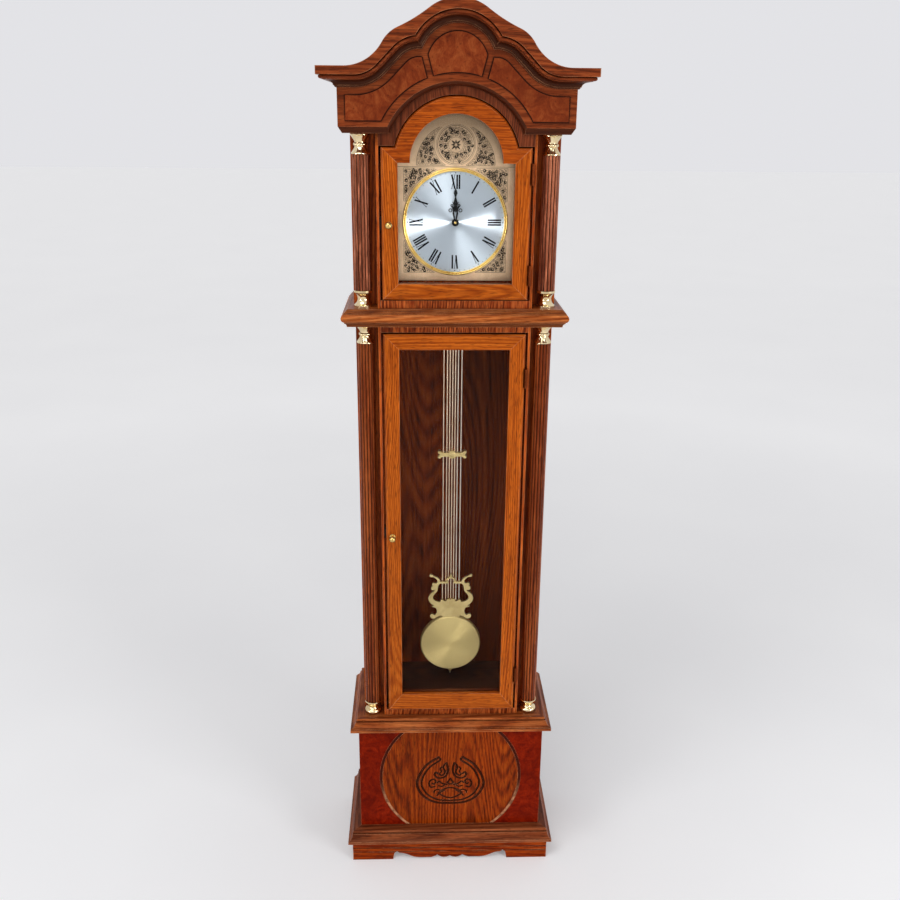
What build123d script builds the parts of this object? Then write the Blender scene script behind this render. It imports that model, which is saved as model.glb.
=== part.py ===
from build123d import *
import os
from math import cos, radians, sqrt

os.makedirs("parts", exist_ok=True)

# Longcase clock with a quartz movement and a lyre pendulum.
# Millimetres. X to the right, Y to the back, Z up. The origin is the middle of the
# clock's footprint, on the floor. "out" is how far a face stands in front of the trunk's
# front face, and equally beyond its sides; "depth" is how far behind that face it lies.

# ---- Footprint ----
CASE_DEPTH = 199.0
TRUNK_WIDTH = 398.0
HOOD_OUT = 2.5
BASE_OUT = 12.5
LIP_OUT = 13.3
FRIEZE_OUT = 20.5
CORNICE_OUT = 55.0

# ---- Heights of the storeys, from the floor up ----
APRON_HEIGHT = 53.0
PLINTH_MOULD_HEIGHT = 33.0
BASE_HEIGHT = 271.0
SHELF_HEIGHT = 28.0
TRUNK_HEIGHT = 907.0
WAIST_HEIGHT = 35.0
HOOD_HEIGHT = 327.5
LIP_HEIGHT = 11.5
FRIEZE_HEIGHT = 67.5
CORNICE_RISE = 20.0
FASCIA_HEIGHT = 15.0
CROWN_RISE = 112.5

# ---- Boards ----
SIDE_WALL = 12.5
BACK_THICK = 8.0
FRONT_BOARD = 19.0
APRON_THICK = 19.0
APRON_OUT = 32.5
FLOOR_THICK = 12.0
TRUNK_FLOOR_THICK = 21.0
FRAME_INNER = 40.0
RAIL_THICK = 20.0
POST_DEPTH = 60.0
NOTCH_DEPTH = 38.0
REVEAL = 5.0
MITRE_GAP = 0.1

# ---- Apron ----
APRON_GROOVES = (22.3, 33.6)
GROOVE_WIDTH = 2.0
FOOT_INNER = 136.0
HAUNCH_HEIGHT = 21.4
SKIRT_CLEARANCE = 4.5
SIDE_FOOT = 62.0

# ---- Profiles of the three mouldings: distances out and heights above each moulding's foot ----
QUIRK = 2.0
PLINTH_OUT = 42.4
PLINTH_EDGE = 6.0
PLINTH_COVE_OUT = 32.5
PLINTH_COVE_TOP = 22.0
PLINTH_BEAD_OUT = 29.5
PLINTH_BEAD_HEIGHT = 6.0
SHELF_OUT = 30.2
SHELF_EDGE = 7.0
SHELF_OGEE_OUT = 27.8
SHELF_OGEE_MIDDLE = (20.6, 16.5)
SHELF_OGEE_TOP = (17.4, 20.3)
SHELF_BEAD_OUT = 14.8
WAIST_FOOT_OUT = 14.4
WAIST_COVE_OUT = 19.2
WAIST_COVE_TOP = 7.6
WAIST_OUT = 25.3
WAIST_NOSE_MIDDLE = 17.6
WAIST_NOSE_TOP = (20.4, 26.0)
WAIST_REED = 2.6
WAIST_REED_COUNT = 3

# ---- Round panel in the base ----
ROUND_HALF_WIDTH = 165.0
ROUND_HALF_HEIGHT = 173.0
ROUND_CENTRE_ABOVE_PLINTH = 135.0
ROUND_RECESS = 4.0
ROUND_CHANNEL = 6.0

# ---- Doors ----
DOOR_WIDTH = 284.0
DOOR_THICK = 20.0
DOOR_STILE = 31.0
DOOR_GAP = 5.0
DOOR_TOP_GAP = 3.0
DOOR_BOTTOM_GAP = 2.0
DOOR_BEVEL = 3.0
TRUNK_DOOR_PROUD = 6.0
TRUNK_DOOR_BOTTOM_RAIL = 42.0
TRUNK_TOP_RAIL = 14.0
TRUNK_BOTTOM_RAIL = 14.5
HOOD_DOOR_PROUD = 8.0
HOOD_BOTTOM_RAIL = 15.5
HOOD_DOOR_SHOULDER = 24.0
ARCH_CENTRE_BELOW_LIP = 52.5
HOOD_DOOR_ARCH = 119.0
HOOD_GLASS_ARCH = 88.0
ARCH_BOARD_GAP = 2.0
REBATE = 6.0
REBATE_FROM_FRONT = 9.0
GLASS_THICK = 3.0
GLASS_PLAY = 1.0
BEAD_PLAY = 0.2

# ---- Knobs, hinges and catches ----
KNOB_RADIUS = 7.0
KNOB_STEM_RADIUS = 3.6
KNOB_STEM = 8.0
KNOB_COLLAR = 2.4
KNOB_FROM_EDGE = 13.5
TRUNK_KNOB_RISE = 451.0
HOOD_KNOB_RISE = 161.7
HINGE_RADIUS = 2.5
HINGE_PIN_RADIUS = 1.2
HINGE_PIN_PLAY = 0.05
HINGE_HALF_HEIGHT = 20.0
HINGE_KNUCKLE = 6.7
HINGE_KNUCKLE_GAP = 0.3
HINGE_LEAF = 1.0
HINGE_LEAF_DEPTH = 17.0
HINGE_SWING_GAP = 0.3
TRUNK_HINGE_FROM_END = 90.0
HOOD_HINGE_FROM_END = 48.0
CATCH_HALF_HEIGHT = 12.0
CATCH_WIDTH = 13.0
CATCH_DEPTH = 18.0
STRIKE_THICK = 1.0
STRIKE_WIDTH = 14.0
CATCH_GAP = 0.4

# ---- Columns ----
COLUMN_INSET = 20.0
COLUMN_DEPTH = 18.0
COLUMN_CORE = 13.0
REED_RADIUS = 3.1
REED_COUNT = 14
REED_CIRCLE_RADIUS = 12.9
CAPITAL_HEIGHT = 38.0
CAPITAL_RADIUS = 19.0
CAPITAL_WAIST = 12.0
CAPITAL_RING = 14.5
CAPITAL_RING_RISE = 18.0
CAPITAL_RING_HALF = 2.0
CAPITAL_ABACUS = 3.4
TRUNK_FOOT_HEIGHT = 31.0
HOOD_FOOT_HEIGHT = 33.0
FOOT_RADIUS = 18.3
FOOT_NECK = 11.0

# ---- Frieze arch, crown and burl panels ----
FRIEZE_THICK = 12.4
FRIEZE_ARCH = 144.0
FRIEZE_ARCH_BACK = 136.0
ROOF_THICK = 12.0
CROWN_TOP_RADIUS = 88.0
CROWN_TOP_ANGLE = 36.0
CROWN_NECK_RADIUS = 296.0
CROWN_NECK_ANGLE = 23.5
CROWN_SHOULDER_RADIUS = 60.5
CROWN_SHOULDER_ANGLE = 59.0
CORNICE_LAYERS = 6
CROWN_HEAD_RADIUS = 69.0
CROWN_HEAD_RISE = 40.1
CROWN_LOBE_RADIUS = 46.0
CROWN_LOBE_X = 70.0
CROWN_LOBE_RISE = 19.5
CROWN_SWEEP_RADIUS = 80.0
BURL_MARGIN = 13.0
BURL_ARCH_MARGIN = 14.0
BURL_SIDE_MARGIN = 14.0
BURL_BOTTOM_RISE = 10.0
BURL_PROUD = 1.2
BURL_STRIP_RISE = 84.0
BURL_STRIP_SLOPE = 0.27
BURL_SIDE_X = 55.0
BURL_CENTRE_X = 43.0

# ---- Dial ----
DIAL_CENTRE_RISE = 162.5
DIAL_BOARD_DEPTH = 37.0
DIAL_BOARD_THICK = 12.0
DIAL_BOARD_ARCH = 125.0
DIAL_PLATE_WIDTH = 250.0
DIAL_PLATE_BOTTOM = 113.5
DIAL_PLATE_ARCH = 105.0
DIAL_PLATE_THICK = 1.5
DIAL_RING_OUTER = 103.0
DIAL_RING_INNER = 96.0
DIAL_RING_THICK = 4.0
DIAL_DISC_PLAY = 0.1
DIAL_DISC_THICK = 0.8
MEDALLION_RADIUS = 38.5
MEDALLION_RISE = 144.5
MEDALLION_THICK = 1.5

# ---- Movement and hands ----
MOVEMENT_WIDTH = 70.0
MOVEMENT_BELOW = 49.5
MOVEMENT_ABOVE = 46.5
MOVEMENT_DEPTH = 27.0
BATTERY_RADIUS = 7.0
BATTERY_LENGTH = 50.0
BATTERY_PLAY = 0.3
BATTERY_RISE = 26.0
BUSH_RADIUS = 4.0
BUSH_PROUD = 2.7
NUT_RADIUS = 6.5
NUT_THICK = 2.0
HOUR_PIPE_RADIUS = 2.5
HOUR_PIPE_LENGTH = 3.0
SPINDLE_RADIUS = 1.5
SPINDLE_LENGTH = 2.4
HAND_PLAY = 0.05
HAND_LIFT = 0.4
HAND_THICK = 1.0
HAND_BOSS_RADIUS = 7.0
HOUR_BOSS_LENGTH = 2.2
MINUTE_BOSS_LENGTH = 3.0
MINUTE_HAND_LENGTH = 65.0
HOUR_HAND_LENGTH = 47.0
HAND_LOOP_OUTER = 6.5
HAND_LOOP_INNER = 4.3
MINUTE_LOOP_RISE = 31.5
HOUR_LOOP_RISE = 22.0

# ---- Pendulum ----
PENDULUM_DEPTH = 80.0
PIVOT_BELOW_DIAL = 39.5
PIVOT_PIN_RADIUS = 1.5
PIVOT_PLAY = 0.05
PIVOT_EYE_RADIUS = 5.0
PIVOT_EYE_THICK = 4.0
PIVOT_HEAD_RADIUS = 3.0
PIVOT_HEAD_THICK = 1.5
PIVOT_SIDE_GAP = 0.5
HANGER_WIDTH = 10.0
HANGER_THICK = 2.0
YOKE_DROP = 158.0
YOKE_HEIGHT = 12.0
YOKE_WIDTH = 42.0
YOKE_DEPTH = 8.0
ROD_RADIUS = 1.5
ROD_PITCH = 5.8
OUTER_ROD_GAP = 7.4
ROD_COUNT = 7
ROD_END_ABOVE_BOB = 89.5
ROD_PLAY = 0.05
MID_BAR_DROP = 466.0
MID_BAR_HEIGHT = 18.0
MID_BAR_WIDTH = 63.2
MID_BAR_DEPTH = 12.0
MID_BAR_WAIST = 3.0
BOB_RADIUS = 69.85
BOB_RISE = 143.5
BOB_EDGE = 3.0
BOB_CENTRE = 9.0
BOB_RIM = 7.0
LYRE_THICK = 5.0
LYRE_PLAY = 0.1
BOB_LYRE_GAP = 0.6
RATING_TIP_BELOW_BOB = 90.9
RATING_NUT_RADIUS = 7.0
RATING_NUT_HEIGHT = 8.0

# ---- Places worked out from the above ----
TRUNK_HALF = TRUNK_WIDTH / 2
FRONT = (CORNICE_OUT - CASE_DEPTH) / 2
BACK = FRONT + CASE_DEPTH
CASE_INNER_HALF = TRUNK_HALF - SIDE_WALL
BACK_INNER = BACK - BACK_THICK
HOOD_HALF = TRUNK_HALF + HOOD_OUT
BASE_HALF = TRUNK_HALF + BASE_OUT
FRIEZE_HALF = TRUNK_HALF + FRIEZE_OUT

PLINTH_TOP = APRON_HEIGHT + PLINTH_MOULD_HEIGHT
BASE_TOP = PLINTH_TOP + BASE_HEIGHT
TRUNK_BOTTOM = BASE_TOP + SHELF_HEIGHT
TRUNK_TOP = TRUNK_BOTTOM + TRUNK_HEIGHT
HOOD_BOTTOM = TRUNK_TOP + WAIST_HEIGHT
HOOD_TOP = HOOD_BOTTOM + HOOD_HEIGHT
FRIEZE_BOTTOM = HOOD_TOP + LIP_HEIGHT
FRIEZE_TOP = FRIEZE_BOTTOM + FRIEZE_HEIGHT
CORNICE_TOP = FRIEZE_TOP + CORNICE_RISE + FASCIA_HEIGHT
CROWN_TOP = CORNICE_TOP + CROWN_RISE

DOOR_HALF = DOOR_WIDTH / 2
OPENING_HALF = DOOR_HALF - DOOR_STILE
POST_INNER = DOOR_HALF + DOOR_GAP
TRUNK_DOOR_BOTTOM = TRUNK_BOTTOM + TRUNK_BOTTOM_RAIL + DOOR_BOTTOM_GAP
TRUNK_DOOR_TOP = TRUNK_TOP - TRUNK_TOP_RAIL - DOOR_TOP_GAP
HOOD_DOOR_BOTTOM = HOOD_BOTTOM + HOOD_BOTTOM_RAIL + DOOR_BOTTOM_GAP
HOOD_DOOR_SHOULDER_Z = HOOD_TOP - HOOD_DOOR_SHOULDER
ARCH_Z = HOOD_TOP - ARCH_CENTRE_BELOW_LIP
TRUNK_DOOR_FRONT = FRONT - TRUNK_DOOR_PROUD
HOOD_DOOR_FRONT = FRONT - HOOD_DOOR_PROUD
HINGE_X = DOOR_HALF + DOOR_GAP / 2
TRUNK_KNOB_Z = TRUNK_BOTTOM + TRUNK_KNOB_RISE
HOOD_KNOB_Z = HOOD_BOTTOM + HOOD_KNOB_RISE
DIAL_CENTRE_Z = HOOD_BOTTOM + DIAL_CENTRE_RISE
DIAL_BOARD_FRONT = FRONT + DIAL_BOARD_DEPTH
DIAL_PLATE_FRONT = DIAL_BOARD_FRONT - DIAL_PLATE_THICK
DIAL_DISC_FRONT = DIAL_PLATE_FRONT - DIAL_DISC_THICK
MOVEMENT_FRONT = DIAL_BOARD_FRONT + DIAL_BOARD_THICK
MOVEMENT_BACK = MOVEMENT_FRONT + MOVEMENT_DEPTH
BUSH_END = DIAL_DISC_FRONT - BUSH_PROUD
HOUR_PIPE_END = BUSH_END - HOUR_PIPE_LENGTH
SPINDLE_END = HOUR_PIPE_END - SPINDLE_LENGTH
PENDULUM_Y = FRONT + PENDULUM_DEPTH
PIVOT_Z = DIAL_CENTRE_Z - PIVOT_BELOW_DIAL
YOKE_Z = PIVOT_Z - YOKE_DROP
MID_BAR_Z = PIVOT_Z - MID_BAR_DROP
BOB_CENTRE_Z = TRUNK_BOTTOM + BOB_RISE
ROD_BOTTOM_Z = BOB_CENTRE_Z + ROD_END_ABOVE_BOB
RATING_TIP_Z = BOB_CENTRE_Z - RATING_TIP_BELOW_BOB


# ---- Shared forms ----
def finish(piece, label):
    """Names a finished piece and writes it out."""
    piece.part.label = label
    export_step(piece.part, f"parts/{label}.step")


def board(x, y, z, mode=Mode.ADD):
    """A square-edged board that fills the given low and high x, y and z."""
    middle = ((x[0] + x[1]) / 2, (y[0] + y[1]) / 2, (z[0] + z[1]) / 2)
    with Locations(middle):
        Box(x[1] - x[0], y[1] - y[0], z[1] - z[0], mode=mode)


def upright(y):
    """The plane parallel to the clock's front at y. Extruding by a positive amount comes forward."""
    return Plane.XZ.offset(-y)


def moulding_section(z):
    """The cross-section of a moulding round the case: x is out from the trunk, y is height above z."""
    return Plane(origin=(TRUNK_HALF, BACK, z), x_dir=(1, 0, 0), z_dir=(0, -1, 0))


def case_route():
    """The way a moulding runs round the right side, the front and the left side of the case."""
    Polyline((TRUNK_HALF, BACK), (TRUNK_HALF, FRONT), (-TRUNK_HALF, FRONT), (-TRUNK_HALF, BACK))


def cut_mitres(z):
    """Saws a moulding near height z through at its two front corners."""
    reach = CASE_DEPTH
    for side in (-1, 1):
        with Locations(Location((side * TRUNK_HALF, FRONT, z), (0, 0, -45 * side))):
            Box(reach, MITRE_GAP, reach, mode=Mode.SUBTRACT)


def clear_back_panel(z):
    """Takes the back panel's width out of a frame near height z."""
    board((-CASE_INNER_HALF, CASE_INNER_HALF), (BACK_INNER, BACK), (z - PLINTH_TOP, z + PLINTH_TOP),
          mode=Mode.SUBTRACT)


def front_plan(inner, outer, gap=0.0):
    """The plan of a front board mitred at both ends, between two distances out."""
    Polygon(
        (TRUNK_HALF + inner - gap, FRONT - inner),
        (TRUNK_HALF + outer - gap, FRONT - outer),
        (-TRUNK_HALF - outer + gap, FRONT - outer),
        (-TRUNK_HALF - inner + gap, FRONT - inner),
        align=None,
    )


def side_plan(inner, outer, gap=0.0):
    """The plan of the right side board that meets front_plan at its mitre."""
    Polygon(
        (TRUNK_HALF + inner, FRONT - inner + gap),
        (TRUNK_HALF + outer, FRONT - outer + gap),
        (TRUNK_HALF + outer, BACK),
        (TRUNK_HALF + inner, BACK),
        align=None,
    )


# ---- Apron and plinth ----
def apron_cutout():
    """The area under the front apron's shaped lower edge."""
    haunch = (FOOT_INNER - 9, HAUNCH_HEIGHT)
    shoulder = (FOOT_INNER - 15, HAUNCH_HEIGHT - 2.9)
    dip = (FOOT_INNER - 67, SKIRT_CLEARANCE)
    with BuildLine() as edge:
        Line((0, 0), (FOOT_INNER, 0))
        Line((FOOT_INNER, 0), (FOOT_INNER - 3, HAUNCH_HEIGHT - 4.4))
        ThreePointArc((FOOT_INNER - 3, HAUNCH_HEIGHT - 4.4), haunch, shoulder)
        Bezier(shoulder, (shoulder[0] - 21, shoulder[1]), (dip[0] + 26, dip[1]), dip)
        Line(dip, (45, SKIRT_CLEARANCE))
        ThreePointArc((45, SKIRT_CLEARANCE), (38.5, SKIRT_CLEARANCE + 2), (30, SKIRT_CLEARANCE + 7.4))
        ThreePointArc((30, SKIRT_CLEARANCE + 7.4), (14, SKIRT_CLEARANCE), (0, SKIRT_CLEARANCE + 4.3))
        Line((0, SKIRT_CLEARANCE + 4.3), (0, 0))
    make_face(edge.line.edges())
    mirror(about=Plane.YZ)


with BuildPart() as apron_front:
    with BuildSketch():
        front_plan(APRON_OUT - APRON_THICK, APRON_OUT)
    extrude(amount=APRON_HEIGHT)
    with BuildSketch(upright(FRONT)):
        apron_cutout()
    extrude(amount=APRON_OUT + 1, mode=Mode.SUBTRACT)
    for height in APRON_GROOVES:
        board(
            (-BASE_HALF - APRON_OUT, BASE_HALF + APRON_OUT),
            (FRONT - APRON_OUT, FRONT - APRON_OUT + GROOVE_WIDTH),
            (height - GROOVE_WIDTH / 2, height + GROOVE_WIDTH / 2),
            mode=Mode.SUBTRACT,
        )
finish(apron_front, "apron_front")

with BuildPart() as apron_sides:
    with BuildSketch():
        side_plan(APRON_OUT - APRON_THICK, APRON_OUT, MITRE_GAP)
    extrude(amount=APRON_HEIGHT)
    with BuildSketch(Plane.YZ.offset(TRUNK_HALF)):
        with BuildLine():
            Line((FRONT + SIDE_FOOT, 0), (BACK - SIDE_FOOT, 0))
            Line((BACK - SIDE_FOOT, 0), (BACK - SIDE_FOOT - 9, HAUNCH_HEIGHT))
            Line((BACK - SIDE_FOOT - 9, HAUNCH_HEIGHT), (FRONT + SIDE_FOOT + 9, HAUNCH_HEIGHT))
            Line((FRONT + SIDE_FOOT + 9, HAUNCH_HEIGHT), (FRONT + SIDE_FOOT, 0))
        make_face()
    extrude(amount=APRON_OUT + 1, mode=Mode.SUBTRACT)
    for height in APRON_GROOVES:
        board(
            (TRUNK_HALF + APRON_OUT - GROOVE_WIDTH, TRUNK_HALF + APRON_OUT),
            (FRONT - APRON_OUT, BACK),
            (height - GROOVE_WIDTH / 2, height + GROOVE_WIDTH / 2),
            mode=Mode.SUBTRACT,
        )
    mirror(about=Plane.YZ)
finish(apron_sides, "apron_sides")

with BuildPart() as plinth_moulding:
    with BuildLine(Plane.XY.offset(APRON_HEIGHT)) as plinth_route:
        case_route()
    with BuildSketch(moulding_section(APRON_HEIGHT)):
        with BuildLine():
            bead_foot = PLINTH_COVE_TOP + QUIRK
            bead_top = bead_foot + PLINTH_BEAD_HEIGHT
            Polyline((BASE_OUT, 0), (PLINTH_OUT, 0), (PLINTH_OUT, PLINTH_EDGE))
            ThreePointArc(
                (PLINTH_OUT, PLINTH_EDGE),
                (PLINTH_COVE_OUT + 2.5, (PLINTH_EDGE + PLINTH_COVE_TOP) / 2 - 1.5),
                (PLINTH_COVE_OUT, PLINTH_COVE_TOP),
            )
            Polyline(
                (PLINTH_COVE_OUT, PLINTH_COVE_TOP),
                (PLINTH_BEAD_OUT, PLINTH_COVE_TOP),
                (PLINTH_BEAD_OUT, bead_foot),
            )
            ThreePointArc(
                (PLINTH_BEAD_OUT, bead_foot),
                (PLINTH_BEAD_OUT + 1.9, (bead_foot + bead_top) / 2),
                (PLINTH_BEAD_OUT - 0.5, bead_top),
            )
            Line((PLINTH_BEAD_OUT - 0.5, bead_top), (BASE_OUT, PLINTH_MOULD_HEIGHT))
            Line((BASE_OUT, PLINTH_MOULD_HEIGHT), (BASE_OUT, 0))
        make_face()
    sweep(path=plinth_route.wires()[0], transition=Transition.RIGHT)
    cut_mitres(PLINTH_TOP)
finish(plinth_moulding, "plinth_moulding")


# ---- Base box ----
def round_panel(shrink, top_gap):
    """The upright oval of the base panel, cut off by the mouldings above and below it."""
    centre = PLINTH_TOP + ROUND_CENTRE_ABOVE_PLINTH
    with Locations((0, centre)):
        Ellipse(ROUND_HALF_WIDTH - shrink, ROUND_HALF_HEIGHT - shrink)
    with Locations((0, (PLINTH_TOP + BASE_TOP) / 2)):
        Rectangle(2 * ROUND_HALF_WIDTH, BASE_HEIGHT - 2 * top_gap, mode=Mode.INTERSECT)


with BuildPart() as base_front_board:
    board(
        (-BASE_HALF, BASE_HALF),
        (FRONT - BASE_OUT, FRONT - BASE_OUT + FRONT_BOARD),
        (APRON_HEIGHT, BASE_TOP),
    )
    with BuildSketch(upright(FRONT - BASE_OUT + ROUND_RECESS)):
        round_panel(0, 0)
    extrude(amount=ROUND_RECESS, mode=Mode.SUBTRACT)
finish(base_front_board, "base_front_board")

with BuildPart() as base_round_panel:
    with BuildSketch(upright(FRONT - BASE_OUT + ROUND_RECESS)):
        round_panel(ROUND_CHANNEL, MITRE_GAP)
    extrude(amount=ROUND_RECESS)
finish(base_round_panel, "base_round_panel")

with BuildPart() as base_sides:
    board(
        (CASE_INNER_HALF, BASE_HALF),
        (FRONT - BASE_OUT + FRONT_BOARD, BACK),
        (APRON_HEIGHT, BASE_TOP),
    )
    mirror(about=Plane.YZ)
finish(base_sides, "base_sides")

with BuildPart() as base_floor:
    board(
        (-CASE_INNER_HALF, CASE_INNER_HALF),
        (FRONT - BASE_OUT + FRONT_BOARD, BACK_INNER),
        (APRON_HEIGHT, APRON_HEIGHT + FLOOR_THICK),
    )
finish(base_floor, "base_floor")

with BuildPart() as shelf_moulding:
    with BuildLine(Plane.XY.offset(BASE_TOP)) as shelf_route:
        case_route()
    with BuildSketch(moulding_section(BASE_TOP)):
        with BuildLine():
            bead_foot = SHELF_OGEE_TOP[1] + QUIRK
            Polyline(
                (-FRAME_INNER, 0),
                (SHELF_OUT, 0),
                (SHELF_OUT, SHELF_EDGE),
                (SHELF_OGEE_OUT, SHELF_EDGE),
                (SHELF_OGEE_OUT, SHELF_EDGE + QUIRK),
            )
            ThreePointArc((SHELF_OGEE_OUT, SHELF_EDGE + QUIRK), (22.8, 11.8), SHELF_OGEE_MIDDLE)
            ThreePointArc(SHELF_OGEE_MIDDLE, (19.6, 19), SHELF_OGEE_TOP)
            Polyline(
                SHELF_OGEE_TOP,
                (SHELF_BEAD_OUT, SHELF_OGEE_TOP[1]),
                (SHELF_BEAD_OUT, bead_foot),
            )
            ThreePointArc(
                (SHELF_BEAD_OUT, bead_foot),
                (SHELF_BEAD_OUT + 2.1, (bead_foot + SHELF_HEIGHT) / 2),
                (SHELF_BEAD_OUT - 0.4, SHELF_HEIGHT),
            )
            Line((SHELF_BEAD_OUT - 0.4, SHELF_HEIGHT), (-FRAME_INNER, SHELF_HEIGHT))
            Line((-FRAME_INNER, SHELF_HEIGHT), (-FRAME_INNER, 0))
        make_face()
    sweep(path=shelf_route.wires()[0], transition=Transition.RIGHT)
    cut_mitres(BASE_TOP)
    clear_back_panel(BASE_TOP)
finish(shelf_moulding, "shelf_moulding")


# ---- Trunk ----
def corner_post(out, bottom, top):
    """An L-shaped corner post whose front notch holds a column."""
    half = TRUNK_HALF + out
    face = FRONT - out
    with BuildSketch(Plane.XY.offset(bottom)) as plan:
        Polygon(
            (POST_INNER, face),
            (POST_INNER + REVEAL, face),
            (POST_INNER + REVEAL, FRONT + NOTCH_DEPTH),
            (half, FRONT + NOTCH_DEPTH),
            (half, FRONT + POST_DEPTH),
            (POST_INNER, FRONT + POST_DEPTH),
            align=None,
        )
    extrude(plan.sketch, amount=top - bottom)
    mirror(about=Plane.YZ)


with BuildPart() as trunk_posts:
    corner_post(0, TRUNK_BOTTOM, TRUNK_TOP)
finish(trunk_posts, "trunk_posts")

with BuildPart() as trunk_sides:
    board((CASE_INNER_HALF, TRUNK_HALF), (FRONT + POST_DEPTH, BACK), (TRUNK_BOTTOM, TRUNK_TOP))
    mirror(about=Plane.YZ)
finish(trunk_sides, "trunk_sides")

with BuildPart() as trunk_floor:
    with BuildSketch(Plane.XY.offset(TRUNK_BOTTOM)):
        Polygon(
            (POST_INNER, FRONT + RAIL_THICK),
            (POST_INNER, FRONT + POST_DEPTH),
            (CASE_INNER_HALF, FRONT + POST_DEPTH),
            (CASE_INNER_HALF, BACK_INNER),
            (-CASE_INNER_HALF, BACK_INNER),
            (-CASE_INNER_HALF, FRONT + POST_DEPTH),
            (-POST_INNER, FRONT + POST_DEPTH),
            (-POST_INNER, FRONT + RAIL_THICK),
            align=None,
        )
    extrude(amount=TRUNK_FLOOR_THICK)
finish(trunk_floor, "trunk_floor")

with BuildPart() as front_rails:
    rail_x = (-POST_INNER, POST_INNER)
    trunk_rail_y = (FRONT, FRONT + RAIL_THICK)
    board(rail_x, trunk_rail_y, (TRUNK_BOTTOM, TRUNK_BOTTOM + TRUNK_BOTTOM_RAIL))
    board(rail_x, trunk_rail_y, (TRUNK_TOP - TRUNK_TOP_RAIL, TRUNK_TOP))
    board(
        rail_x,
        (FRONT - HOOD_OUT, FRONT - HOOD_OUT + RAIL_THICK),
        (HOOD_BOTTOM, HOOD_BOTTOM + HOOD_BOTTOM_RAIL),
    )
finish(front_rails, "front_rails")

with BuildPart() as back_panel:
    board((-CASE_INNER_HALF, CASE_INNER_HALF), (BACK_INNER, BACK), (APRON_HEIGHT, FRIEZE_TOP + ROOF_THICK))
finish(back_panel, "back_panel")

with BuildPart() as waist_moulding:
    with BuildLine(Plane.XY.offset(TRUNK_TOP)) as waist_route:
        case_route()
    with BuildSketch(moulding_section(TRUNK_TOP)):
        reeds = WAIST_REED * WAIST_REED_COUNT
        with BuildLine():
            Line((-FRAME_INNER, 0), (WAIST_FOOT_OUT, 0))
            ThreePointArc((WAIST_FOOT_OUT, 0), (15.4, 4.6), (WAIST_COVE_OUT, WAIST_COVE_TOP))
            Line((WAIST_COVE_OUT, WAIST_COVE_TOP), (WAIST_COVE_OUT, WAIST_COVE_TOP + QUIRK))
            ThreePointArc(
                (WAIST_COVE_OUT, WAIST_COVE_TOP + QUIRK),
                (WAIST_OUT, WAIST_NOSE_MIDDLE),
                WAIST_NOSE_TOP,
            )
            for reed in range(WAIST_REED_COUNT):
                start = (WAIST_NOSE_TOP[0] - reed * WAIST_REED, WAIST_NOSE_TOP[1] + reed * WAIST_REED)
                end = (start[0] - WAIST_REED, start[1] + WAIST_REED)
                ThreePointArc(start, (start[0] - 0.3, end[1] - 0.5), end)
            Polyline(
                (WAIST_NOSE_TOP[0] - reeds, WAIST_NOSE_TOP[1] + reeds),
                (WAIST_NOSE_TOP[0] - reeds, WAIST_HEIGHT),
                (-FRAME_INNER, WAIST_HEIGHT),
            )
            Line((-FRAME_INNER, WAIST_HEIGHT), (-FRAME_INNER, 0))
        make_face()
    sweep(path=waist_route.wires()[0], transition=Transition.RIGHT)
    cut_mitres(TRUNK_TOP)
    clear_back_panel(TRUNK_TOP)
finish(waist_moulding, "waist_moulding")

# ---- Hood ----
with BuildPart() as hood_posts:
    corner_post(HOOD_OUT, HOOD_BOTTOM, HOOD_TOP)
finish(hood_posts, "hood_posts")

with BuildPart() as hood_sides:
    board(
        (CASE_INNER_HALF, HOOD_HALF),
        (FRONT + POST_DEPTH, BACK),
        (HOOD_BOTTOM, HOOD_TOP),
    )
    mirror(about=Plane.YZ)
finish(hood_sides, "hood_sides")

ARCH_BOARD_BOTTOM = HOOD_DOOR_SHOULDER_Z + ARCH_BOARD_GAP
ARCH_BOARD_BACK = HOOD_DOOR_FRONT + DOOR_THICK
with BuildPart() as hood_arch_board:
    board(
        (-POST_INNER, POST_INNER),
        (HOOD_DOOR_FRONT, ARCH_BOARD_BACK),
        (ARCH_BOARD_BOTTOM, FRIEZE_TOP + ROOF_THICK),
    )
    with BuildSketch(upright(ARCH_BOARD_BACK)):
        with Locations((0, ARCH_Z)):
            Circle(HOOD_DOOR_ARCH + ARCH_BOARD_GAP)
    extrude(amount=DOOR_THICK, mode=Mode.SUBTRACT)
finish(hood_arch_board, "hood_arch_board")


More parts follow.
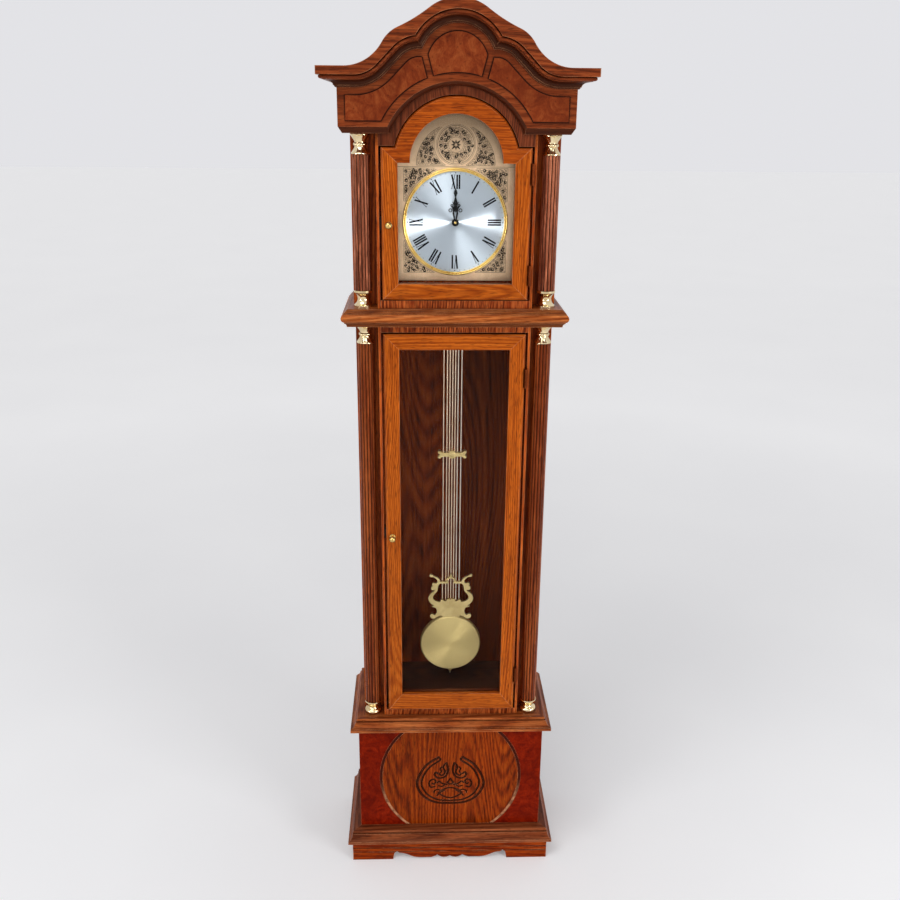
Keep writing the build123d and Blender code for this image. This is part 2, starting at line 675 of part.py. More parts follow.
# ---- Frieze and crown ----
def crown_outline(half):
    """The area under the crown's upper edge: head, necks, shoulders and flat ends."""
    top_angle = radians(CROWN_TOP_ANGLE)
    neck_angle = radians(CROWN_NECK_ANGLE)
    shoulder_angle = radians(CROWN_SHOULDER_ANGLE)
    fall_to_shoulder = (
        CROWN_TOP_RADIUS * (1 - cos(top_angle))
        + CROWN_NECK_RADIUS * (cos(neck_angle) - cos(top_angle))
        + CROWN_SHOULDER_RADIUS * (cos(neck_angle) - cos(shoulder_angle))
    )
    last_radius = (CROWN_RISE - fall_to_shoulder) / (1 - cos(shoulder_angle))
    with BuildLine() as edge:
        head = JernArc((0, CROWN_TOP), (1, 0), CROWN_TOP_RADIUS, -CROWN_TOP_ANGLE)
        neck = JernArc(head @ 1, head % 1, CROWN_NECK_RADIUS, CROWN_TOP_ANGLE - CROWN_NECK_ANGLE)
        shoulder = JernArc(neck @ 1, neck % 1, CROWN_SHOULDER_RADIUS, CROWN_NECK_ANGLE - CROWN_SHOULDER_ANGLE)
        sweep_out = JernArc(shoulder @ 1, shoulder % 1, last_radius, CROWN_SHOULDER_ANGLE)
        Line(sweep_out @ 1, (half, CORNICE_TOP))
        Line((half, CORNICE_TOP), (half, HOOD_TOP))
        Line((half, HOOD_TOP), (0, HOOD_TOP))
        Line((0, HOOD_TOP), (0, CROWN_TOP))
    make_face(edge.line.edges())
    mirror(about=Plane.YZ)


def pediment_field(grow, mode=Mode.ADD):
    """The frieze area under the crown's moulded edge, grown outward by grow."""
    flat = FRIEZE_TOP + grow
    lobe_z = FRIEZE_TOP + CROWN_LOBE_RISE
    diagonal = sqrt(2) / 2
    sweep_z = FRIEZE_TOP + CROWN_SWEEP_RADIUS
    sweep_x = CROWN_LOBE_X + lobe_z + (CROWN_LOBE_RADIUS + CROWN_SWEEP_RADIUS) / diagonal - sweep_z
    lobe_reach = (CROWN_LOBE_RADIUS + grow) * diagonal
    sweep_radius = CROWN_SWEEP_RADIUS - grow
    lobe_point = (CROWN_LOBE_X + lobe_reach, lobe_z + lobe_reach)
    sweep_point = (sweep_x - sweep_radius * diagonal, sweep_z - sweep_radius * diagonal)
    far = TRUNK_HALF + 2 * CORNICE_OUT
    with BuildLine() as wing:
        Polyline((0, lobe_z), (CROWN_LOBE_X, lobe_z), lobe_point, sweep_point)
        RadiusArc(sweep_point, (sweep_x, flat), -sweep_radius)
        Polyline((sweep_x, flat), (far, flat), (far, HOOD_TOP - 1), (0, HOOD_TOP - 1), (0, lobe_z))
    make_face(wing.line.edges(), mode=mode)
    wing_face = make_face(wing.line.edges(), mode=Mode.PRIVATE)
    mirror(wing_face, about=Plane.YZ, mode=mode)
    with Locations((0, FRIEZE_TOP + CROWN_HEAD_RISE)):
        Circle(CROWN_HEAD_RADIUS + grow, mode=mode)
    with Locations((-CROWN_LOBE_X, lobe_z), (CROWN_LOBE_X, lobe_z)):
        Circle(CROWN_LOBE_RADIUS + grow, mode=mode)


def lip_section():
    """The wedge that the frieze's lower outer edge loses to its slanted lip."""
    Polygon(
        (LIP_OUT, -1),
        (LIP_OUT, 0),
        (FRIEZE_OUT, LIP_HEIGHT),
        (FRIEZE_OUT + 1, LIP_HEIGHT),
        (FRIEZE_OUT + 1, -1),
        align=None,
    )


with BuildPart() as frieze_board:
    with BuildSketch(upright(FRONT - FRIEZE_OUT + FRIEZE_THICK)):
        crown_outline(FRIEZE_HALF)
    extrude(amount=FRIEZE_THICK)
    with BuildSketch(Plane.XY.offset(ARCH_Z)):
        face = FRONT - FRIEZE_OUT
        with BuildLine():
            Line((0, face - 1), (FRIEZE_ARCH, face - 1))
            Line((FRIEZE_ARCH, face - 1), (FRIEZE_ARCH, face))
            ThreePointArc(
                (FRIEZE_ARCH, face),
                (FRIEZE_ARCH_BACK + 2, face + FRIEZE_THICK * 0.4),
                (FRIEZE_ARCH_BACK, face + FRIEZE_THICK),
            )
            Line((FRIEZE_ARCH_BACK, face + FRIEZE_THICK), (0, face + FRIEZE_THICK))
            Line((0, face + FRIEZE_THICK), (0, face - 1))
        make_face()
    revolve(axis=Axis((0, 0, ARCH_Z), (0, 1, 0)), mode=Mode.SUBTRACT)
    with BuildLine(Plane.XY.offset(HOOD_TOP)) as lip_route:
        case_route()
    with BuildSketch(moulding_section(HOOD_TOP)):
        lip_section()
    sweep(path=lip_route.wires()[0], transition=Transition.RIGHT, mode=Mode.SUBTRACT)
finish(frieze_board, "frieze_board")

with BuildPart() as frieze_sides:
    frieze_back = FRONT - FRIEZE_OUT + FRIEZE_THICK
    board((FRIEZE_HALF - FRIEZE_THICK, FRIEZE_HALF), (frieze_back, BACK), (HOOD_TOP, CORNICE_TOP))
    board(
        (CASE_INNER_HALF, FRIEZE_HALF - FRIEZE_THICK / 2),
        (frieze_back, BACK),
        (HOOD_TOP, HOOD_TOP + ROOF_THICK),
    )
    board(
        (POST_INNER, CASE_INNER_HALF + 1),
        (frieze_back, FRONT + POST_DEPTH),
        (HOOD_TOP, HOOD_TOP + ROOF_THICK),
    )
    with BuildSketch(upright(BACK)):
        with Locations((TRUNK_HALF, HOOD_TOP)):
            lip_section()
    extrude(amount=CASE_DEPTH + CORNICE_OUT, mode=Mode.SUBTRACT)
    mirror(about=Plane.YZ)
finish(frieze_sides, "frieze_sides")


def burl_wedge(half, mode):
    """A wedge that widens upwards and has its given half width at the strips' level."""
    spread = BURL_STRIP_SLOPE * BURL_STRIP_RISE
    with Locations((0, FRIEZE_BOTTOM + BURL_STRIP_RISE)):
        Polygon(
            (-half + spread, -BURL_STRIP_RISE),
            (half - spread, -BURL_STRIP_RISE),
            (half + spread, BURL_STRIP_RISE),
            (-half - spread, BURL_STRIP_RISE),
            align=None,
            mode=mode,
        )


BURL_ARCH = FRIEZE_ARCH + BURL_ARCH_MARGIN
with BuildPart() as frieze_burl_panels:
    with BuildSketch(upright(FRONT - FRIEZE_OUT)):
        pediment_field(-BURL_MARGIN)
        with Locations((0, (FRIEZE_BOTTOM + CROWN_TOP + BURL_BOTTOM_RISE) / 2)):
            Rectangle(
                2 * (FRIEZE_HALF - BURL_SIDE_MARGIN),
                CROWN_TOP - FRIEZE_BOTTOM - BURL_BOTTOM_RISE,
                mode=Mode.INTERSECT,
            )
        with Locations((0, ARCH_Z)):
            Circle(BURL_ARCH, mode=Mode.SUBTRACT)
        burl_wedge(BURL_SIDE_X, Mode.SUBTRACT)
    extrude(amount=BURL_PROUD)
    with BuildSketch(upright(FRONT - FRIEZE_OUT)):
        with Locations((0, FRIEZE_TOP + CROWN_HEAD_RISE)):
            Circle(CROWN_HEAD_RADIUS - BURL_MARGIN)
        burl_wedge(BURL_CENTRE_X, Mode.INTERSECT)
        with Locations((0, ARCH_Z)):
            Circle(BURL_ARCH, mode=Mode.SUBTRACT)
    extrude(amount=BURL_PROUD)
finish(frieze_burl_panels, "frieze_burl_panels")

LAYER = (CORNICE_OUT - FRIEZE_OUT) / CORNICE_LAYERS


def cove_rise(layer):
    """How far the cornice's hollow underside has risen at one of its layers, counted from the frieze."""
    share = (layer + 0.5) / CORNICE_LAYERS
    return CORNICE_RISE * sqrt(1 - (1 - share) ** 2)


with BuildPart() as crown_moulding:
    for layer in range(CORNICE_LAYERS):
        with BuildSketch(upright(FRONT - FRIEZE_OUT - layer * LAYER)):
            crown_outline(TRUNK_HALF + CORNICE_OUT)
            pediment_field(cove_rise(layer), mode=Mode.SUBTRACT)
        extrude(amount=LAYER)
    with BuildSketch(Plane.XY.offset(FRIEZE_TOP)):
        front_plan(FRIEZE_OUT, CORNICE_OUT)
    extrude(amount=CROWN_TOP - FRIEZE_TOP + 1, mode=Mode.INTERSECT)
finish(crown_moulding, "crown_moulding")

with BuildPart() as crown_returns:
    for layer in range(CORNICE_LAYERS):
        start = FRIEZE_HALF + layer * LAYER
        board(
            (start, start + LAYER),
            (FRONT - CORNICE_OUT, BACK),
            (FRIEZE_TOP + cove_rise(layer), CORNICE_TOP),
        )
    with BuildSketch(Plane.XY.offset(FRIEZE_TOP)):
        side_plan(FRIEZE_OUT, CORNICE_OUT, MITRE_GAP)
    extrude(amount=CORNICE_TOP - FRIEZE_TOP, mode=Mode.INTERSECT)
    mirror(about=Plane.YZ)
finish(crown_returns, "crown_returns")

with BuildPart() as roof_board:
    board(
        (-FRIEZE_HALF + FRIEZE_THICK, FRIEZE_HALF - FRIEZE_THICK),
        (ARCH_BOARD_BACK, BACK_INNER),
        (FRIEZE_TOP, FRIEZE_TOP + ROOF_THICK),
    )
finish(roof_board, "roof_board")


# ---- Columns ----
def column(x, bottom, top):
    """A round column of half-round reeds, and its twin on the other side."""
    with BuildSketch(Plane.XY.offset(bottom)) as plan:
        with Locations((x, FRONT + COLUMN_DEPTH)):
            Circle(COLUMN_CORE)
            with PolarLocations(REED_CIRCLE_RADIUS, REED_COUNT):
                Circle(REED_RADIUS)
    extrude(plan.sketch, amount=top - bottom)
    mirror(about=Plane.YZ)


def turned(x, bottom, edge):
    """A turned piece on a column's axis at x, from its outline in radius and height, and its twin."""
    with BuildSketch(Plane.XZ.offset(-FRONT - COLUMN_DEPTH)) as section:
        with Locations((x, bottom)):
            add(make_face(edge.line.edges(), mode=Mode.PRIVATE))
    revolve(section.sketch, axis=Axis((x, FRONT + COLUMN_DEPTH, 0), (0, 0, 1)))


TRUNK_COLUMN_X = TRUNK_HALF - COLUMN_INSET
HOOD_COLUMN_X = HOOD_HALF - COLUMN_INSET
with BuildPart() as trunk_columns:
    column(TRUNK_COLUMN_X, TRUNK_BOTTOM + TRUNK_FOOT_HEIGHT, TRUNK_TOP - CAPITAL_HEIGHT)
finish(trunk_columns, "trunk_columns")

with BuildPart() as hood_columns:
    column(HOOD_COLUMN_X, HOOD_BOTTOM + HOOD_FOOT_HEIGHT, HOOD_TOP - CAPITAL_HEIGHT)
finish(hood_columns, "hood_columns")

with BuildLine() as capital_edge:
    ring_low = CAPITAL_RING_RISE - CAPITAL_RING_HALF
    ring_high = CAPITAL_RING_RISE + CAPITAL_RING_HALF
    flare = CAPITAL_HEIGHT - CAPITAL_ABACUS
    Polyline((0, CAPITAL_HEIGHT), (0, 0), (CAPITAL_RADIUS - 2, 0), (CAPITAL_RADIUS - 1.5, 2.5))
    ThreePointArc((CAPITAL_RADIUS - 1.5, 2.5), (CAPITAL_WAIST + 1.2, ring_low / 2), (CAPITAL_WAIST, ring_low - 1))
    Line((CAPITAL_WAIST, ring_low - 1), (CAPITAL_RING, ring_low))
    ThreePointArc((CAPITAL_RING, ring_low), (CAPITAL_RING + 1, CAPITAL_RING_RISE), (CAPITAL_RING, ring_high))
    Line((CAPITAL_RING, ring_high), (CAPITAL_WAIST, ring_high + 1))
    ThreePointArc(
        (CAPITAL_WAIST, ring_high + 1),
        (CAPITAL_WAIST + 1.6, (ring_high + flare) / 2 + 0.7),
        (CAPITAL_RADIUS - 0.8, flare - 0.6),
    )
    Polyline(
        (CAPITAL_RADIUS - 0.8, flare - 0.6),
        (CAPITAL_RADIUS, flare),
        (CAPITAL_RADIUS, CAPITAL_HEIGHT),
        (0, CAPITAL_HEIGHT),
    )

with BuildPart() as column_capitals:
    turned(TRUNK_COLUMN_X, TRUNK_TOP - CAPITAL_HEIGHT, capital_edge)
    turned(HOOD_COLUMN_X, HOOD_TOP - CAPITAL_HEIGHT, capital_edge)
    mirror(about=Plane.YZ)
finish(column_capitals, "column_capitals")

with BuildLine() as vase_edge:
    Polyline((0, TRUNK_FOOT_HEIGHT), (0, 0), (FOOT_RADIUS - 1.5, 0), (FOOT_RADIUS, 3))
    ThreePointArc((FOOT_RADIUS, 3), (FOOT_RADIUS - 0.6, 8), (FOOT_NECK + 2, 11))
    ThreePointArc((FOOT_NECK + 2, 11), (FOOT_NECK, 14), (FOOT_NECK + 1.5, 19))
    ThreePointArc((FOOT_NECK + 1.5, 19), (FOOT_NECK + 3.4, 24), (FOOT_RADIUS, 28))
    Polyline((FOOT_RADIUS, 28), (FOOT_RADIUS, TRUNK_FOOT_HEIGHT), (0, TRUNK_FOOT_HEIGHT))

with BuildLine() as spool_edge:
    Polyline((0, HOOD_FOOT_HEIGHT), (0, 0), (FOOT_RADIUS, 0), (FOOT_RADIUS, 4))
    ThreePointArc((FOOT_RADIUS, 4), (FOOT_NECK, 16.5), (FOOT_RADIUS, 29))
    Polyline((FOOT_RADIUS, 29), (FOOT_RADIUS, HOOD_FOOT_HEIGHT), (0, HOOD_FOOT_HEIGHT))

with BuildPart() as column_bases:
    turned(TRUNK_COLUMN_X, TRUNK_BOTTOM, vase_edge)
    turned(HOOD_COLUMN_X, HOOD_BOTTOM, spool_edge)
    mirror(about=Plane.YZ)
finish(column_bases, "column_bases")


# ---- Doors ----
def arched_area(half, bottom, shoulder, arch, mode=Mode.ADD):
    """A rectangle up to its shoulders, with a round arch above the middle of them."""
    with Locations((0, (bottom + shoulder) / 2)):
        Rectangle(2 * half, shoulder - bottom, mode=mode)
    with Locations((0, ARCH_Z)):
        Circle(arch, mode=mode)


def hood_opening(grow, mode=Mode.ADD):
    """The glazed opening of the hood door, grown by grow."""
    arched_area(
        OPENING_HALF + grow,
        HOOD_DOOR_BOTTOM + DOOR_STILE - grow,
        ARCH_Z + grow,
        HOOD_GLASS_ARCH + grow,
        mode,
    )


def trunk_opening(grow, mode=Mode.ADD):
    """The glazed opening of the trunk door, grown by grow."""
    low = TRUNK_DOOR_BOTTOM + TRUNK_DOOR_BOTTOM_RAIL - grow
    high = TRUNK_DOOR_TOP - DOOR_STILE + grow
    with Locations((0, (low + high) / 2)):
        Rectangle(2 * (OPENING_HALF + grow), high - low, mode=mode)


def hood_door_area():
    """The outline of the hood door."""
    arched_area(DOOR_HALF, HOOD_DOOR_BOTTOM, HOOD_DOOR_SHOULDER_Z, HOOD_DOOR_ARCH)


def trunk_door_area():
    """The outline of the trunk door."""
    with Locations((0, (TRUNK_DOOR_BOTTOM + TRUNK_DOOR_TOP) / 2)):
        Rectangle(DOOR_WIDTH, TRUNK_DOOR_TOP - TRUNK_DOOR_BOTTOM)


def door_member(area, opening, front, corners):
    """One mitred member of a door frame: its front lip, and behind it the part beside the rebate."""
    for start, thick, grow in (
        (front + REBATE_FROM_FRONT, REBATE_FROM_FRONT, 0),
        (front + DOOR_THICK, DOOR_THICK - REBATE_FROM_FRONT, REBATE),
    ):
        with BuildSketch(upright(start)) as section:
            area()
            opening(grow, Mode.SUBTRACT)
            Polygon(*corners, align=None, mode=Mode.INTERSECT)
        extrude(section.sketch, amount=thick)


def bevel_front(piece, front, on_outside):
    """Bevels the front edges of a door member that lie on the door's outside."""
    edges = piece.edges().filter_by(lambda e: abs(e.center().Y - front) < 0.01)
    chamfer(edges.filter_by(on_outside), DOOR_BEVEL)


HOOD_OPENING_BOTTOM = HOOD_DOOR_BOTTOM + DOOR_STILE
TRUNK_OPENING_BOTTOM = TRUNK_DOOR_BOTTOM + TRUNK_DOOR_BOTTOM_RAIL
TRUNK_OPENING_TOP = TRUNK_DOOR_TOP - DOOR_STILE

with BuildPart() as hood_door_stiles:
    door_member(
        hood_door_area,
        hood_opening,
        HOOD_DOOR_FRONT,
        (
            (DOOR_HALF, HOOD_DOOR_BOTTOM),
            (OPENING_HALF, HOOD_OPENING_BOTTOM),
            (OPENING_HALF, ARCH_Z),
            (DOOR_HALF, HOOD_DOOR_SHOULDER_Z),
        ),
    )
    bevel_front(hood_door_stiles, HOOD_DOOR_FRONT, lambda e: e.center().X > DOOR_HALF - 0.01)
    mirror(about=Plane.YZ)
finish(hood_door_stiles, "hood_door_stiles")

with BuildPart() as hood_door_bottom_rail:
    door_member(
        hood_door_area,
        hood_opening,
        HOOD_DOOR_FRONT,
        (
            (-DOOR_HALF, HOOD_DOOR_BOTTOM),
            (DOOR_HALF, HOOD_DOOR_BOTTOM),
            (OPENING_HALF, HOOD_OPENING_BOTTOM),
            (-OPENING_HALF, HOOD_OPENING_BOTTOM),
        ),
    )
    bevel_front(hood_door_bottom_rail, HOOD_DOOR_FRONT, lambda e: e.center().Z < HOOD_DOOR_BOTTOM + 0.01)
finish(hood_door_bottom_rail, "hood_door_bottom_rail")

ARCH_MIDDLE_RADIUS = (HOOD_DOOR_ARCH + HOOD_GLASS_ARCH) / 2
with BuildPart() as hood_door_arch_rail:
    door_member(
        hood_door_area,
        hood_opening,
        HOOD_DOOR_FRONT,
        (
            (-DOOR_HALF, HOOD_DOOR_SHOULDER_Z),
            (-OPENING_HALF, ARCH_Z),
            (OPENING_HALF, ARCH_Z),
            (DOOR_HALF, HOOD_DOOR_SHOULDER_Z),
            (DOOR_HALF, CROWN_TOP),
            (-DOOR_HALF, CROWN_TOP),
        ),
    )
    bevel_front(
        hood_door_arch_rail,
        HOOD_DOOR_FRONT,
        lambda e: e.center().Z > HOOD_DOOR_SHOULDER_Z - 0.01
        and (e.center() - Vector(0, HOOD_DOOR_FRONT, ARCH_Z)).length > ARCH_MIDDLE_RADIUS,
    )
finish(hood_door_arch_rail, "hood_door_arch_rail")

with BuildPart() as trunk_door_stiles:
    door_member(
        trunk_door_area,
        trunk_opening,
        TRUNK_DOOR_FRONT,
        (
            (DOOR_HALF, TRUNK_DOOR_BOTTOM),
            (OPENING_HALF, TRUNK_OPENING_BOTTOM),
            (OPENING_HALF, TRUNK_OPENING_TOP),
            (DOOR_HALF, TRUNK_DOOR_TOP),
        ),
    )
    bevel_front(trunk_door_stiles, TRUNK_DOOR_FRONT, lambda e: e.center().X > DOOR_HALF - 0.01)
    mirror(about=Plane.YZ)
finish(trunk_door_stiles, "trunk_door_stiles")

with BuildPart() as trunk_door_rails:
    door_member(
        trunk_door_area,
        trunk_opening,
        TRUNK_DOOR_FRONT,
        (
            (-DOOR_HALF, TRUNK_DOOR_BOTTOM),
            (DOOR_HALF, TRUNK_DOOR_BOTTOM),
            (OPENING_HALF, TRUNK_OPENING_BOTTOM),
            (-OPENING_HALF, TRUNK_OPENING_BOTTOM),
        ),
    )
    door_member(
        trunk_door_area,
        trunk_opening,
        TRUNK_DOOR_FRONT,
        (
            (-DOOR_HALF, TRUNK_DOOR_TOP),
            (DOOR_HALF, TRUNK_DOOR_TOP),
            (OPENING_HALF, TRUNK_OPENING_TOP),
            (-OPENING_HALF, TRUNK_OPENING_TOP),
        ),
    )
    bevel_front(
        trunk_door_rails,
        TRUNK_DOOR_FRONT,
        lambda e: e.center().Z < TRUNK_DOOR_BOTTOM + 0.01 or e.center().Z > TRUNK_DOOR_TOP - 0.01,
    )
finish(trunk_door_rails, "trunk_door_rails")

with BuildPart() as hood_door_glass:
    with BuildSketch(upright(HOOD_DOOR_FRONT + REBATE_FROM_FRONT + GLASS_THICK)):
        hood_opening(REBATE - GLASS_PLAY)
    extrude(amount=GLASS_THICK)
finish(hood_door_glass, "hood_door_glass")

with BuildPart() as trunk_door_glass:
    with BuildSketch(upright(TRUNK_DOOR_FRONT + REBATE_FROM_FRONT + GLASS_THICK)):
        trunk_opening(REBATE - GLASS_PLAY)
    extrude(amount=GLASS_THICK)
finish(trunk_door_glass, "trunk_door_glass")

BEAD_THICK = DOOR_THICK - REBATE_FROM_FRONT - GLASS_THICK
with BuildPart() as hood_door_beads:
    with BuildSketch(upright(HOOD_DOOR_FRONT + DOOR_THICK)):
        hood_opening(REBATE - BEAD_PLAY)
        hood_opening(0, Mode.SUBTRACT)
        with Locations((0, HOOD_OPENING_BOTTOM), (0, ARCH_Z)):
            Rectangle(DOOR_WIDTH, BEAD_PLAY, mode=Mode.SUBTRACT)
    extrude(amount=BEAD_THICK)
finish(hood_door_beads, "hood_door_beads")

with BuildPart() as trunk_door_beads:
    with BuildSketch(upright(TRUNK_DOOR_FRONT + DOOR_THICK)):
        trunk_opening(REBATE - BEAD_PLAY)
        trunk_opening(0, Mode.SUBTRACT)
        with Locations((0, TRUNK_OPENING_BOTTOM), (0, TRUNK_OPENING_TOP)):
            Rectangle(DOOR_WIDTH, BEAD_PLAY, mode=Mode.SUBTRACT)
    extrude(amount=BEAD_THICK)
finish(trunk_door_beads, "trunk_door_beads")


# ---- Knobs, strike plates, catches and hinges ----
KNOB_X = -DOOR_HALF + KNOB_FROM_EDGE


def knob(front, z):
    """A round pull knob with a short stem and a collar."""
    ball = front - KNOB_STEM - sqrt(KNOB_RADIUS**2 - KNOB_STEM_RADIUS**2)
    collar = KNOB_STEM_RADIUS + KNOB_COLLAR
    with BuildSketch(Plane.XY.offset(z)) as section:
        with BuildLine() as edge:
            Polyline(
                (0, front),
                (collar, front),
                (collar, front - 1.5),
                (KNOB_STEM_RADIUS, front - 2.2),
                (KNOB_STEM_RADIUS, front - KNOB_STEM),
            )
            ThreePointArc(
                (KNOB_STEM_RADIUS, front - KNOB_STEM),
                (KNOB_RADIUS, ball),
                (0, ball - KNOB_RADIUS),
            )
            Line((0, ball - KNOB_RADIUS), (0, front))
        with Locations((KNOB_X, 0)):
            add(make_face(edge.line.edges(), mode=Mode.PRIVATE))
    revolve(section.sketch, axis=Axis((KNOB_X, 0, z), (0, 1, 0)))


with BuildPart() as hood_door_knob:
    knob(HOOD_DOOR_FRONT, HOOD_KNOB_Z)
finish(hood_door_knob, "hood_door_knob")

with BuildPart() as trunk_door_knob:
    knob(TRUNK_DOOR_FRONT, TRUNK_KNOB_Z)
finish(trunk_door_knob, "trunk_door_knob")


def strike_plate(front, z):
    """A thin steel plate behind the free edge of a door."""
    back = front + DOOR_THICK
    board(
        (-DOOR_HALF + 1, -DOOR_HALF + 1 + STRIKE_WIDTH),
        (back, back + STRIKE_THICK),
        (z - CATCH_HALF_HEIGHT, z + CATCH_HALF_HEIGHT),
    )


with BuildPart() as hood_strike_plate:
    strike_plate(HOOD_DOOR_FRONT, HOOD_KNOB_Z)
finish(hood_strike_plate, "hood_strike_plate")

with BuildPart() as trunk_strike_plate:
    strike_plate(TRUNK_DOOR_FRONT, TRUNK_KNOB_Z)
finish(trunk_strike_plate, "trunk_strike_plate")

with BuildPart() as door_catches:
    for front, z in ((HOOD_DOOR_FRONT, HOOD_KNOB_Z), (TRUNK_DOOR_FRONT, TRUNK_KNOB_Z)):
        face = front + DOOR_THICK + STRIKE_THICK + CATCH_GAP
        board(
            (-POST_INNER, -POST_INNER + CATCH_WIDTH),
            (face, face + CATCH_DEPTH),
            (z - CATCH_HALF_HEIGHT, z + CATCH_HALF_HEIGHT),
        )
finish(door_catches, "door_catches")

HOOD_HINGES = (
    (HOOD_DOOR_FRONT, HOOD_DOOR_BOTTOM + HOOD_HINGE_FROM_END),
    (HOOD_DOOR_FRONT, HOOD_DOOR_SHOULDER_Z - HOOD_HINGE_FROM_END),
)
TRUNK_HINGES = (
    (TRUNK_DOOR_FRONT, TRUNK_DOOR_BOTTOM + TRUNK_HINGE_FROM_END),
    (TRUNK_DOOR_FRONT, TRUNK_DOOR_TOP - TRUNK_HINGE_FROM_END),
)


def hinge_y(front):
    """The depth of the hinge pin's axis, in front of a door's face."""
    return front - HINGE_RADIUS - 0.5


def knuckle(front, low, high, radius, mode=Mode.ADD):
    """A length of the hinge's round barrel."""
    with Locations((HINGE_X, hinge_y(front), (low + high) / 2)):
        Cylinder(radius, high - low, mode=mode)


def door_leaf(front, z):
    """The hinge leaf on the door's edge, with the middle knuckle."""
    pin = hinge_y(front)
    clear = pin + HINGE_RADIUS + HINGE_SWING_GAP
    inner = (DOOR_HALF, DOOR_HALF + HINGE_LEAF)
    board(inner, (clear, pin + HINGE_LEAF_DEPTH), (z - HINGE_HALF_HEIGHT, z + HINGE_HALF_HEIGHT))
    board(inner, (pin, clear), (z - HINGE_KNUCKLE, z + HINGE_KNUCKLE))
    knuckle(front, z - HINGE_KNUCKLE, z + HINGE_KNUCKLE, HINGE_RADIUS)
    knuckle(front, z - HINGE_KNUCKLE, z + HINGE_KNUCKLE, HINGE_PIN_RADIUS + HINGE_PIN_PLAY, Mode.SUBTRACT)


def case_leaf(front, z):
    """The hinge leaf on the post, with the pin and the two outer knuckles."""
    pin = hinge_y(front)
    clear = pin + HINGE_RADIUS + HINGE_SWING_GAP
    inner = (POST_INNER - HINGE_LEAF, POST_INNER)
    start = HINGE_KNUCKLE + HINGE_KNUCKLE_GAP
    board(inner, (clear, pin + HINGE_LEAF_DEPTH), (z - HINGE_HALF_HEIGHT, z + HINGE_HALF_HEIGHT))
    for low, high in ((z - HINGE_HALF_HEIGHT, z - start), (z + start, z + HINGE_HALF_HEIGHT)):
        board(inner, (pin, clear), (low, high))
        knuckle(front, low, high, HINGE_RADIUS)
    knuckle(front, z - HINGE_HALF_HEIGHT, z + HINGE_HALF_HEIGHT, HINGE_PIN_RADIUS)


with BuildPart() as hood_door_hinge_leaves:
    for front, z in HOOD_HINGES:
        door_leaf(front, z)
finish(hood_door_hinge_leaves, "hood_door_hinge_leaves")

with BuildPart() as trunk_door_hinge_leaves:
    for front, z in TRUNK_HINGES:
        door_leaf(front, z)
finish(trunk_door_hinge_leaves, "trunk_door_hinge_leaves")

with BuildPart() as case_hinge_leaves:
    for front, z in HOOD_HINGES + TRUNK_HINGES:
        case_leaf(front, z)
finish(case_hinge_leaves, "case_hinge_leaves")

# ---- Dial ----
with BuildPart() as dial_board:
    with BuildSketch(upright(MOVEMENT_FRONT)):
        arched_area(POST_INNER, HOOD_BOTTOM, ARCH_Z, DIAL_BOARD_ARCH)
        with Locations((0, DIAL_CENTRE_Z)):
            Circle(BUSH_RADIUS, mode=Mode.SUBTRACT)
    extrude(amount=DIAL_BOARD_THICK)
finish(dial_board, "dial_board")

with BuildPart() as dial_plate:
    with BuildSketch(upright(DIAL_BOARD_FRONT)):
        arched_area(DIAL_PLATE_WIDTH / 2, DIAL_CENTRE_Z - DIAL_PLATE_BOTTOM, ARCH_Z, DIAL_PLATE_ARCH)
        with Locations((0, DIAL_CENTRE_Z)):
            Circle(BUSH_RADIUS, mode=Mode.SUBTRACT)
    extrude(amount=DIAL_PLATE_THICK)
finish(dial_plate, "dial_plate")

with BuildPart() as dial_ring:
    with BuildSketch(Plane.XY.offset(DIAL_CENTRE_Z)):
        top = DIAL_PLATE_FRONT - DIAL_RING_THICK
        middle = (DIAL_RING_INNER + DIAL_RING_OUTER) / 2
        with BuildLine():
            Line((DIAL_RING_INNER, DIAL_PLATE_FRONT), (DIAL_RING_INNER, top + 1.5))
            ThreePointArc((DIAL_RING_INNER, top + 1.5), (middle, top), (DIAL_RING_OUTER, top + 1.5))
            Line((DIAL_RING_OUTER, top + 1.5), (DIAL_RING_OUTER, DIAL_PLATE_FRONT))
            Line((DIAL_RING_OUTER, DIAL_PLATE_FRONT), (DIAL_RING_INNER, DIAL_PLATE_FRONT))
        make_face()
    revolve(axis=Axis((0, 0, DIAL_CENTRE_Z), (0, 1, 0)))
finish(dial_ring, "dial_ring")

with BuildPart() as dial_disc:
    with BuildSketch(upright(DIAL_PLATE_FRONT)):
        with Locations((0, DIAL_CENTRE_Z)):
            Circle(DIAL_RING_INNER - DIAL_DISC_PLAY)
            Circle(BUSH_RADIUS, mode=Mode.SUBTRACT)
    extrude(amount=DIAL_DISC_THICK)
finish(dial_disc, "dial_disc")

with BuildPart() as dial_medallion:
    with BuildSketch(upright(DIAL_PLATE_FRONT)):
        with Locations((0, DIAL_CENTRE_Z + MEDALLION_RISE)):
            Circle(MEDALLION_RADIUS)
    extrude(amount=MEDALLION_THICK)
finish(dial_medallion, "dial_medallion")


# ---- Movement ----
def rod_along_depth(radius, start, end, z, mode=Mode.ADD):
    """A round piece on the line x = 0 at height z, between two places in depth."""
    with BuildSketch(upright(end)) as section:
        with Locations((0, z)):
            Circle(radius)
    extrude(section.sketch, amount=end - start, mode=mode)


